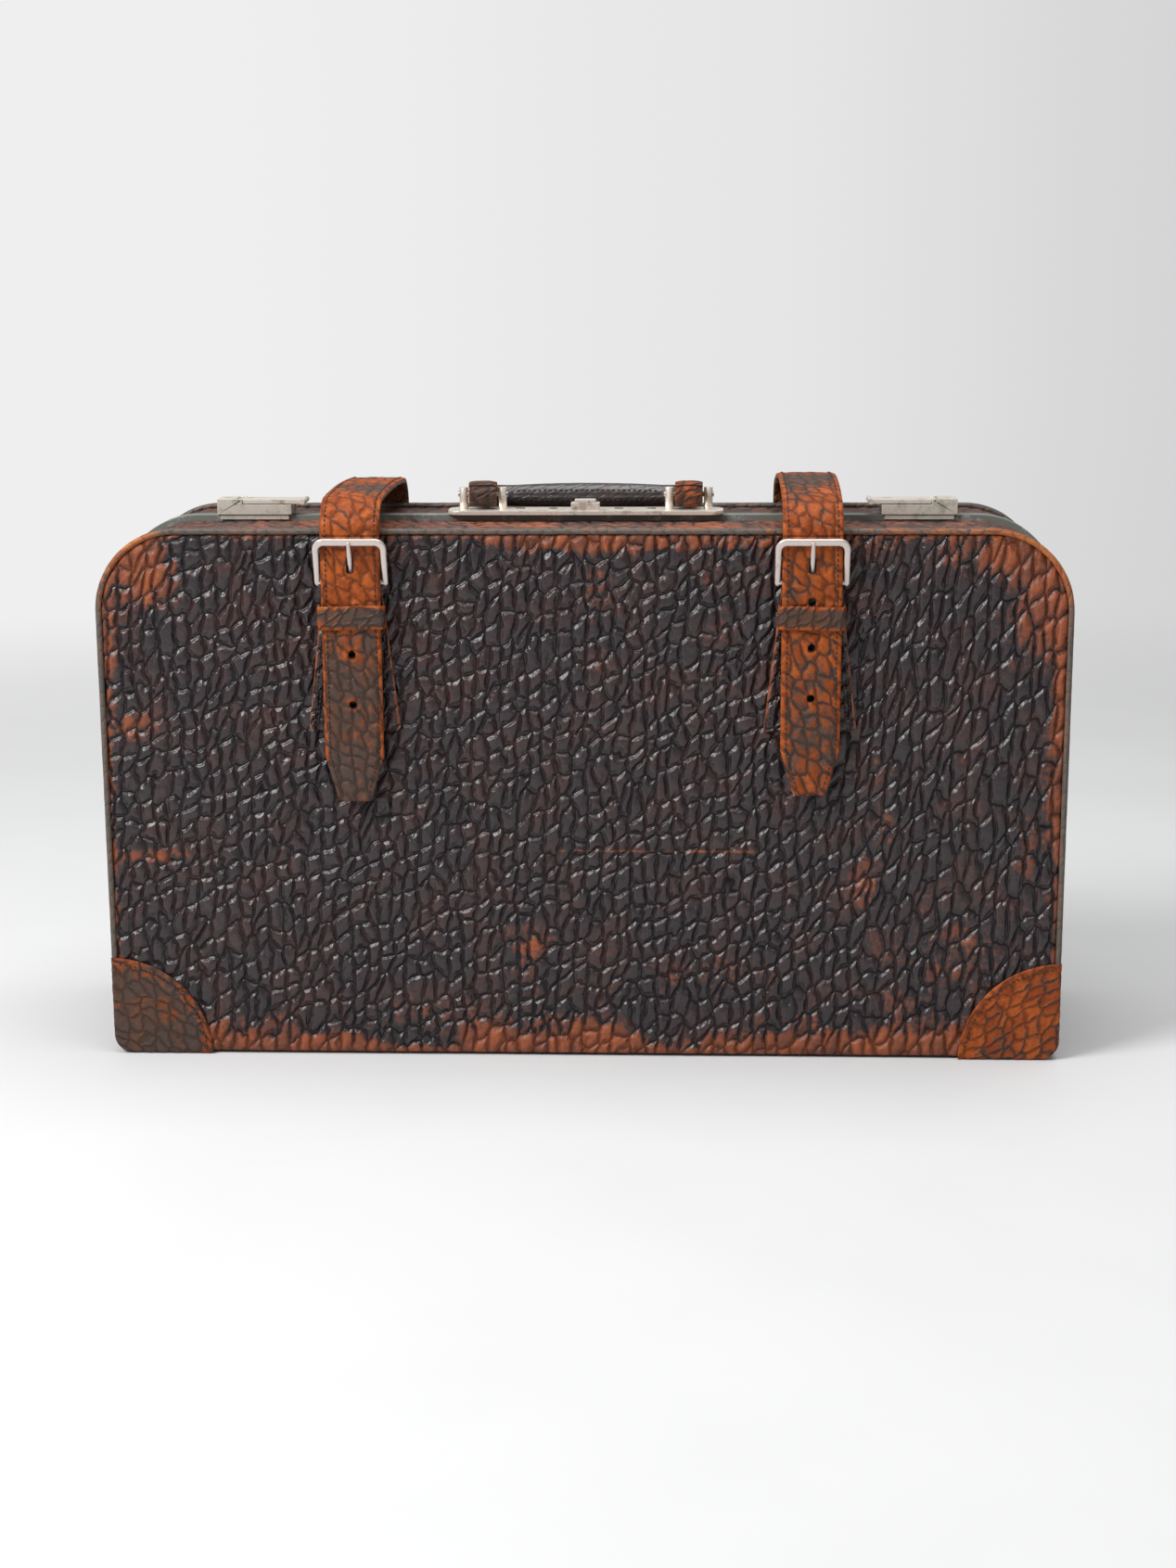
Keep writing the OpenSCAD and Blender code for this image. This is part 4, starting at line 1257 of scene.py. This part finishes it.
def capped(rows, cols):
    """Faces of a swept tube with a face over each end."""
    last = (rows - 1) * cols
    return [*grid_faces(rows, cols, close_cols=True), range(cols)[::-1],
            range(last, last + cols)]


def rounded_section(half_w, half_t, r, steps=5):
    """Rounded rectangle, counter-clockwise."""
    points = []
    for cx, cy, start in ((1, 1, 0), (-1, 1, 90), (-1, -1, 180), (1, -1, 270)):
        for a in np.radians(np.linspace(start, start + 90, steps)):
            points.append((cx * (half_w - r) + r * math.cos(a),
                           cy * (half_t - r) + r * math.sin(a)))
    return np.array(points)


def outward_faces(obj):
    work = bmesh.new()
    work.from_mesh(obj.data)
    bmesh.ops.recalc_face_normals(work, faces=work.faces)
    work.to_mesh(obj.data)
    work.free()
    return obj


def lean(points, origin, angle):
    """Turns points about the X axis, back over front, and moves them to an origin."""
    c, s = math.cos(angle), math.sin(angle)
    x, y, z = points.reshape(-1, 3).T
    return origin + np.stack([x, y * c - z * s, y * s + z * c], 1)


def buckle_piece(word):
    low, high = box(f"{word}_buckle")
    bar, outer = buckle_bar(word), (high[0] - low[0]) / 2
    side_x, mid_top, r = (outer + BUCKLE_INNER) / 2, BUCKLE_TOP - BUCKLE_W / 2, BUCKLE_R
    left = arc(r - side_x, mid_top - r, r, math.pi, RIGHT, 9)
    path, at = resample(mirrored([[-side_x, BUCKLE_FOOT], *left]), 0.9)
    out = left_of(path)
    width = 1.9 + 0.4 * smooth(path[:, 1], mid_top - 8, mid_top)
    taper = np.sqrt(np.clip(np.minimum(at, at[-1] - at) / 1.6, 0.02, 1))
    section = rounded_section(1.0, 1.0, 0.62)
    flat = path[:, None] + out[:, None] * (section[:, 0] * (width * taper)[:, None])[..., None]
    thick = section[:, 1] * (BUCKLE_HALF_T * (0.55 + 0.45 * taper))[:, None]
    bow = 0.35 * np.cos(path[:, 0] / outer * math.pi / 2) * smooth(path[:, 1], mid_top - 3,
                                                                   mid_top)
    ring = make_object(f"{word}_buckle_frame",
                       lean(lift(flat, thick - bow[:, None]), bar, BUCKLE_TILT),
                       capped(len(path), len(section)), BUCKLE_NICKEL)
    xs = np.linspace(-side_x, side_x, 24)[:, None]
    a = np.linspace(0, 2 * math.pi, 20, endpoint=False)
    rod = grid(xs, ROD_R * np.cos(a), ROD_R * np.sin(a))
    rod = make_object(f"{word}_buckle_bar", lean(rod, bar, BUCKLE_TILT),
                      capped(len(xs), len(a)), BUCKLE_NICKEL)
    place(outward_faces(ring), f"{word}_buckle_frame", "nickel", f"{word}_buckle")
    place(outward_faces(rod), f"{word}_buckle_frame", "nickel")


def prong_piece(word):
    low, high = PRONG_UP
    up = np.linspace(low, high, 46)[:, None]
    bow = 0.5 * np.sin((up - low) / (high - low) * math.pi)
    radius = PRONG_R * (1 - 0.22 * smooth(up, 19, high)) * np.sqrt(
        np.clip((high + 0.2 - up) / 1.4, 0.05, 1))
    a = np.linspace(0, 2 * math.pi, 16, endpoint=False)
    shaft = grid(radius * np.cos(a) * 1.15, bow + radius * np.sin(a) * 0.9, up)
    turns = np.linspace(0, 2 * math.pi, 33)[:-1, None]
    x, r = rounded_section(2.15, 0.5, 0.45, 3).T
    r = PRONG_RING_R + r
    ring = grid(x, r * np.cos(turns), r * np.sin(turns))
    points = np.concatenate([shaft.reshape(-1, 3), ring.reshape(-1, 3)])
    faces = [*capped(len(up), len(a)), *grid_faces(len(turns), len(x), close_rows=True,
                                                   close_cols=True, start=shaft.size // 3)]
    obj = make_object(f"{word}_buckle_tongue",
                      lean(points, buckle_bar(word), BUCKLE_TILT + PRONG_LIFT), faces,
                      BUCKLE_NICKEL)
    place(outward_faces(obj), f"{word}_buckle_prong", "nickel", f"{word}_prong")


for word in SIDES:
    buckle_piece(word)
    prong_piece(word)

# ---- handle

END_LOW, END_HIGH = box("left_handle_loop")
PIN_R = 1.8
HANDLE_AXIS = np.array([0.0, 2.0, box("handle_pins")[0][2] + PIN_R])
DROOP = math.radians(7)
LOOP_R = 9.3
LOOP_BORE = 1.95
LOOP_START = 0.7
LOOP_LAYERS = 5
LOOP_X = -(END_LOW[0] + END_HIGH[0]) / 2
LOOP_HALF = (END_HIGH[0] - END_LOW[0]) / 2
REACH = 40.0
GRIP_BEND = 18.0
GRIP_HALF = LOOP_X - GRIP_BEND
GRIP_R = 7.2
GRIP_SWELL = 1.4
GRIP_SIDES = 56
SEAM_TURN = 0.42
GRIP_PITCH = 3.6
GRIP_CREASES = (0.06, 0.2)
LOOP_CREASES = (0.2, 0.15)
# How much of its radius a rolled end loses over one turn and at its edges, and how deep
# the gaps between its layers are
LOOP_SPIRAL = 1.15
LOOP_EDGE = 0.9
LOOP_GROOVE = 0.45


def droop(points, origin=HANDLE_AXIS):
    """Handle coordinates, lying level towards the rear, turned down about the pins."""
    return lean(points, origin, -DROOP)


def grip_piece():
    bend = arc(GRIP_HALF, REACH - GRIP_BEND, GRIP_BEND, 0, RIGHT, 24)
    path, at = resample(mirrored([[LOOP_X, LOOP_R - 2.0], *bend]), 1.2)
    out = -left_of(path)
    a = np.linspace(0, 2 * math.pi, GRIP_SIDES, endpoint=False)
    share = np.clip(np.abs(path[:, 0]) / GRIP_HALF, 0, 1)
    in_grip = (np.abs(path[:, 0]) < GRIP_HALF)[:, None]
    groove = 0.9 * np.exp(-(((a - math.pi) / 0.10) ** 2))
    lip = 0.35 * np.exp(-(((a - math.pi) / 0.28) ** 2))
    wide = GRIP_R + in_grip * (GRIP_SWELL * (1 - share**2)[:, None] - groove + lip)
    wide = wide + 0.12 * (fbm(at[:, None] / 5 + a * 0.8, a * 2.2 + 0 * at[:, None], 103) - 0.5)
    flat_z = 1 - 0.42 * smooth(path[:, 1], REACH - 6, LOOP_R)[:, None]
    points = np.zeros((*wide.shape, 3))
    points[..., :2] = path[:, None] + out[:, None] * (wide * np.cos(a))[..., None]
    points[..., 2] = wide * np.sin(a) * flat_z
    normals = np.zeros_like(points)
    normals[..., :2] = out[:, None] * np.cos(a)[:, None]
    normals[..., 2] = np.sin(a)
    wear = 0.12 + 0.35 * smooth(np.repeat(np.abs(path[:, 0]), GRIP_SIDES), 48, 66)
    obj = hide_object("handle_grip_leather", droop(points), droop(normals, 0.0),
                      grid(at[:, None], a * 8).reshape(-1, 2), capped(*wide.shape), GRIP_HIDE,
                      (*GRIP_GRAIN, 105), wear, 0.0, creases(*GRIP_CREASES))
    place(outward_faces(obj), "handle", "hide", "handle_grip")
    x = np.linspace(-GRIP_HALF + 2, GRIP_HALF - 2, 60)
    r = GRIP_R + GRIP_SWELL * (1 - (x / GRIP_HALF) ** 2)
    for word, turn in (("upper", SEAM_TURN), ("lower", -SEAM_TURN)):
        seam = np.stack([x, REACH - r * math.cos(turn), r * math.sin(turn)], 1)
        up = np.tile([0.0, -math.cos(turn), math.sin(turn)], (len(x), 1))
        row = stitches(f"grip_{word}_stitching", droop(seam), droop(up, 0.0), GRIP_PITCH)
        place(row, "handle", "hide")


def loop_piece(word, side, wear_level):
    """A leather strap end rolled round a handle pin, with its layers showing.

    It is built as rings: from the bore out over one end, along the roll and back in.
    """
    turns = np.linspace(0, 2 * math.pi, 73)
    across = np.linspace(-1, 1, 15)
    outside = LOOP_R - 0.15 - LOOP_SPIRAL * turns / (2 * math.pi)
    layers = np.arange(1, LOOP_LAYERS + 1)
    edge = outside - LOOP_EDGE
    ends = edge + (LOOP_BORE - edge) * (layers / LOOP_LAYERS)[:, None]
    end_x = LOOP_HALF - np.where(layers % 2, LOOP_GROOVE, 0.0)
    r = np.concatenate([ends[::-1], outside - LOOP_EDGE * np.abs(across[:, None]) ** 3, ends])
    x = np.concatenate([-end_x[::-1], across * LOOP_HALF, end_x])[:, None]
    x = side * LOOP_X + x
    c, s = -np.cos(turns + LOOP_START), np.sin(turns + LOOP_START)
    points = grid(x, r * c, r * s)
    on_roll = np.zeros(len(r))
    on_roll[LOOP_LAYERS:-LOOP_LAYERS] = 1
    on_roll = on_roll[:, None]
    normals = grid(0.0, c * on_roll, s * on_roll)
    rim = np.full(len(r), 0.85)
    rim[LOOP_LAYERS:-LOOP_LAYERS] = 0.8 * np.abs(across) ** 8
    uv = grid(x, turns * 8 * on_roll)
    worn = 0.3 * (fbm(uv[..., 0] / 9, uv[..., 1] / 9, 111) - 0.5)
    obj = hide_object(f"{word}_handle_loop_leather", droop(points), droop(normals, 0.0),
                      uv.reshape(-1, 2),
                      grid_faces(len(r), len(turns), close_rows=True, close_cols=True),
                      STRAP_HIDE, (*END_GRAIN, 113 + side),
                      (wear_level + worn * on_roll).ravel(), np.repeat(rim, len(turns)),
                      creases(*LOOP_CREASES))
    place(outward_faces(obj), "handle", "tan_hide", f"{word}_handle_loop")


grip_piece()
loop_piece("left", -1, 0.12)
loop_piece("right", 1, 0.42)

# ---- bottom strip


def bottom_strip():
    low, high = box("bottom_hinge")
    x, y = np.linspace(low[0], high[0], 260), np.linspace(low[1], high[1], 34)
    points = grid(x[:, None], y, low[2])
    obj = strip("bottom_strip", points, facing(points, 2, -1), points[..., :2],
                high[2] - low[2], HIDE, (*FLAT_GRAIN, 121), FLAT_RELIEF, 0.3)
    middle = (low[2] + high[2]) / 2
    place(outward_faces(obj), ("rear_half", "front_half", (0, 7, middle), (0, -7, middle)),
          "hide", "bottom_hinge")


bottom_strip()

# ---- linings

# Depth at which a lining starts along the bottom, and its height over the foot
LINING_FLAP_Y = 24.5
LINING_FOOT = 6.2
LINING_STEP = 6.0
# Columns of its grid on the side walls and on the back
LINING_COLS = (12, 24)
# Height of the ripples of its walls and of the waves of its back
LINING_RIPPLE = 0.8
LINING_WAVE = 1.2


def lining_piece(name, sign, seed):
    """Cloth lining of one half: a tray of side walls and a back, as one sheet."""
    xz, out, at = rim_path(LINING_IN, LINING_STEP, whole=True)
    y0 = np.where(xz[:, 1] > SIDE_FOOT + 8, LINING_LOW[1] + 0.3, LINING_FLAP_Y)[:, None]
    y1 = LINING_HIGH[1] - 1.2
    xz[:, 1] = np.maximum(xz[:, 1], FOOT + LINING_FOOT)
    centre = np.array([0.0, (TOP + FOOT) / 2])
    wall_cols, back_cols = LINING_COLS
    t = np.linspace(0, 1, wall_cols)
    y = y0 * (1 - t) + y1 * t
    ripple = LINING_RIPPLE * (fbm(at[:, None] / 24, y / 30, seed) - 0.3) * np.sin(math.pi * t)
    wall = lift(xz[:, None] - out[:, None] * np.maximum(ripple, 0)[..., None], sign * y)
    t = np.linspace(0, 0.97, back_cols)[None, 1:, None]
    flat = xz[:, None] * (1 - t) + centre * t
    wave = LINING_WAVE * fbm(flat[..., 0] / 60, flat[..., 1] / 45, seed + 5)
    back = lift(flat, sign * (y1 - wave * smooth(t[..., 0], 0, 0.1)))
    points = np.concatenate([wall, back], axis=1)
    rows, cols = points.shape[:2]
    rim = np.arange(rows) * cols + cols - 1
    fan = np.stack([np.full(rows, rows * cols), rim, np.roll(rim, -1)], 1)
    hub = lift(centre[None], sign * (y1 - 0.6))
    return outward_faces(make_object(name, np.concatenate([points.reshape(-1, 3), hub]),
                                     [*grid_faces(rows, cols, close_rows=True), *fan], LINING))


for half, sign, seed in (("front", -1, 131), ("rear", 1, 137)):
    cover = lining_piece(half + "_lining_cloth", sign, seed)
    place(cover, half + "_half", "lining", half + "_lining")

# ---- strap anchors

ANCHOR_T = 1.9
ANCHOR_TOP_HALF = 22.0
ANCHOR_RISE = 2.0


def anchor_piece(word, side):
    """Leather pocket over the strap's rear end, raised over the strap."""
    low, high = box(f"{word}_strap_anchor")
    strap_half = strap_facts(word)["half"]
    x, foot_y = (low[0] + high[0]) / 2, DEPTH + ANCHOR_RISE
    z, half, across = flared(low, high, high[2], ANCHOR_TOP_HALF, 3.0)
    u = half[:, None] * across
    raised = 1 - smooth(np.abs(u), strap_half - 0.5, strap_half + 4.5)
    raised = raised * smooth(z, low[2] + 3, low[2] + 11)[:, None]
    points = grid(x + u, foot_y + (high[1] - foot_y) * raised, z[:, None])
    wear = 0.35 + 0.3 * smooth(np.abs(across), 0.75, 1)
    obj = strip(f"{word}_anchor_leather", points[:, ::-1], facing(points, 1, 1),
                grid(u, z[:, None])[:, ::-1], ANCHOR_T, STRAP_HIDE,
                (*FLAT_GRAIN, 141 + side), 0.6, wear[::-1])
    place(outward_faces(obj), "rear_half", "tan_hide", f"{word}_strap_anchor")
    keep = z > low[2] + 3
    thread = grid(x, foot_y, z)[keep]
    edge_stitching(f"{word}_anchor", thread, half[keep], facing(thread, 1, 1), "rear_half", 2.4)


for word, side in SIDES.items():
    anchor_piece(word, side)

# ---- carried-over CAD nodes

# Material, width and segments of the broken edges, and the nodes that get them
DRESS = (
    (NICKEL, 0.4, 2, ("handle_plate", "handle_posts", "lock_case", "lock_slide",
                      "left_latch_lever", "right_latch_lever")),
    (BASE_NICKEL, 0.6, 3, ("left_latch_base", "right_latch_base")),
    (BASE_NICKEL, 0.3, 2, ("left_catch", "right_catch")),
    (STEEL, 0.3, 2, ("hinge_rivets", "handle_pins", "plate_rivets", "left_latch_pin",
                     "right_latch_pin", "handle_core", "lock_catch")),
    (BUCKLE_NICKEL, 0.9, 3, ("anchor_rivets",)),
    (FRAME_PAINT, 0.6, 2, ("front_frame", "rear_frame")),
    (BOARD, 0.0, 0, ("front_board", "rear_board")),
)
WELD = 0.00001
SHARP = math.radians(35)


def dress(node, material, edge, segments):
    """Gives a CAD node its material and softly broken edges."""
    obj = nodes[node]
    obj.data.materials.clear()
    obj.data.materials.append(material)
    weld = obj.modifiers.new("weld", "WELD")
    weld.merge_threshold = WELD
    if edge:
        bevel = obj.modifiers.new("edges", "BEVEL")
        bevel.width, bevel.segments = edge * MM, segments
        bevel.limit_method, bevel.angle_limit = "ANGLE", SHARP
        bevel.use_clamp_overlap = True
        bevel.harden_normals = True


for material, edge, segments, names in DRESS:
    for node in names:
        dress(node, material, edge, segments)

# ---- stage, light, camera

STAGE_R = 7.0
# Tones of the glowing wall at the left, in the middle and at the right, with painted
# light and shade: lighter at the left, darker at the right; and tones of the floor
WALL_LIGHT_AND_SHADE_TONES = ((0.865, 0.865, 0.868), (0.80, 0.80, 0.805), (0.655, 0.655, 0.660))
FLOOR_TONES = ((0.645, 0.645, 0.645), (0.630, 0.630, 0.632))
WALL_AWAY = 1.65
# Distances in metres between which the floor turns into the wall's tone
FLOOR_FADE = (0.7, 2.2)
# The photograph's camera: place, yaw, pitch and roll in degrees, lens in millimetres
CAMERA_AT = (0.0652, -1.6428, 0.528)
CAMERA_TURN = (2.25, 12.34, -0.25)
CAMERA_LENS = 56.2396
WORLD_COLOR = (0.97, 0.985, 1.0, 1)
WORLD_STRENGTH = 0.36
# Name, place, target, width and power of each lamp
LAMPS = (("key", (-1.5, -1.15, 1.9), (0, 0, 0.15), 1.1, 58),
         ("top", (0.3, -0.1, 2.6), (0, 0, 0), 2.2, 46))


def wall_glow(tree):
    """Glow of a pale wall, with painted shade that darkens it a little from left to right."""
    x, y, _ = add(tree, "ShaderNodeSeparateXYZ", {0: object_place(tree)}).outputs
    away = math_node(tree, "ADD", math_node(tree, "ABSOLUTE", y), WALL_AWAY)
    across = math_node(tree, "DIVIDE", x, away)
    tone = mix(tree, step(tree, across, -0.2, 0.03), *WALL_LIGHT_AND_SHADE_TONES[:2])
    tone = mix(tree, step(tree, across, 0.0, 0.24), tone, WALL_LIGHT_AND_SHADE_TONES[2])
    return add(tree, "ShaderNodeEmission", {"Color": tone, "Strength": 1.0}).outputs[0]


def stage_piece(name, material):
    """Names and dresses the mesh that was just added."""
    obj = bpy.context.object
    obj.name = name
    obj.data.materials.append(material)
    return obj


def floor():
    """Pale floor that takes on the wall's tone far from the bag."""
    material, tree, shader = new_material("pale_floor")
    marks = noise_node(tree, object_place(tree), 6.0, 3.0)
    base = mix(tree, step(tree, marks, 0.35, 0.75), *FLOOR_TONES)
    finish_material(tree, shader, base, 0.6)
    shader.inputs["Specular IOR Level"].default_value = 0.2
    far = add(tree, "ShaderNodeVectorMath", {0: object_place(tree)},
              operation="LENGTH").outputs["Value"]
    blend = add(tree, "ShaderNodeMixShader", {0: step(tree, far, *FLOOR_FADE),
                                              1: shader.outputs[0], 2: wall_glow(tree)})
    tree.links.new(blend.outputs[0], tree.nodes["Material Output"].inputs[0])
    bpy.ops.mesh.primitive_circle_add(vertices=96, radius=STAGE_R, fill_type="NGON")
    stage_piece("floor", material)


def backdrop():
    """Pale wall all round, which only the camera sees; it glows, with painted shade that
    darkens it to the right.
    """
    material, tree, _ = new_material("pale_wall")
    tree.links.new(wall_glow(tree), tree.nodes["Material Output"].inputs[0])
    bpy.ops.mesh.primitive_uv_sphere_add(segments=48, ring_count=24, radius=STAGE_R)
    obj = stage_piece("backdrop", material)
    obj.visible_diffuse = obj.visible_glossy = obj.visible_shadow = False
    obj.visible_transmission = obj.visible_volume_scatter = False


def area_light(name, location, target, size, power):
    data = bpy.data.lights.new(name, "AREA")
    data.shape, data.size, data.energy = "DISK", size, power
    obj = bpy.data.objects.new(name, data)
    obj.location = location
    obj.rotation_euler = (Vector(target) - Vector(location)).to_track_quat("-Z", "Y").to_euler()
    bpy.context.scene.collection.objects.link(obj)


def camera():
    """At the photograph's angle: in front, a little above and to the right."""
    yaw, pitch, roll = (math.radians(a) for a in CAMERA_TURN)
    forward = Vector((-math.sin(yaw) * math.cos(pitch), math.cos(yaw) * math.cos(pitch),
                      -math.sin(pitch)))
    right = Vector((math.cos(yaw), math.sin(yaw), 0))
    up = right.cross(forward)
    side = right * math.cos(roll) + up * math.sin(roll)
    top = up * math.cos(roll) - right * math.sin(roll)
    data = bpy.data.cameras.new("camera")
    data.sensor_width, data.lens = 36.0, CAMERA_LENS
    obj = bpy.data.objects.new("camera", data)
    turn = Matrix((side, top, -forward)).transposed().to_4x4()
    obj.matrix_world = Matrix.Translation(Vector(CAMERA_AT)) @ turn
    bpy.context.scene.collection.objects.link(obj)
    bpy.context.scene.camera = obj


def world():
    made = bpy.data.worlds.new("studio")
    made.use_nodes = True
    background = made.node_tree.nodes["Background"]
    background.inputs["Color"].default_value = WORLD_COLOR
    background.inputs["Strength"].default_value = WORLD_STRENGTH
    bpy.context.scene.world = made


floor()
backdrop()
world()
for lamp in LAMPS:
    area_light(*lamp)
camera()
bpy.context.scene.view_settings.view_transform = "Standard"
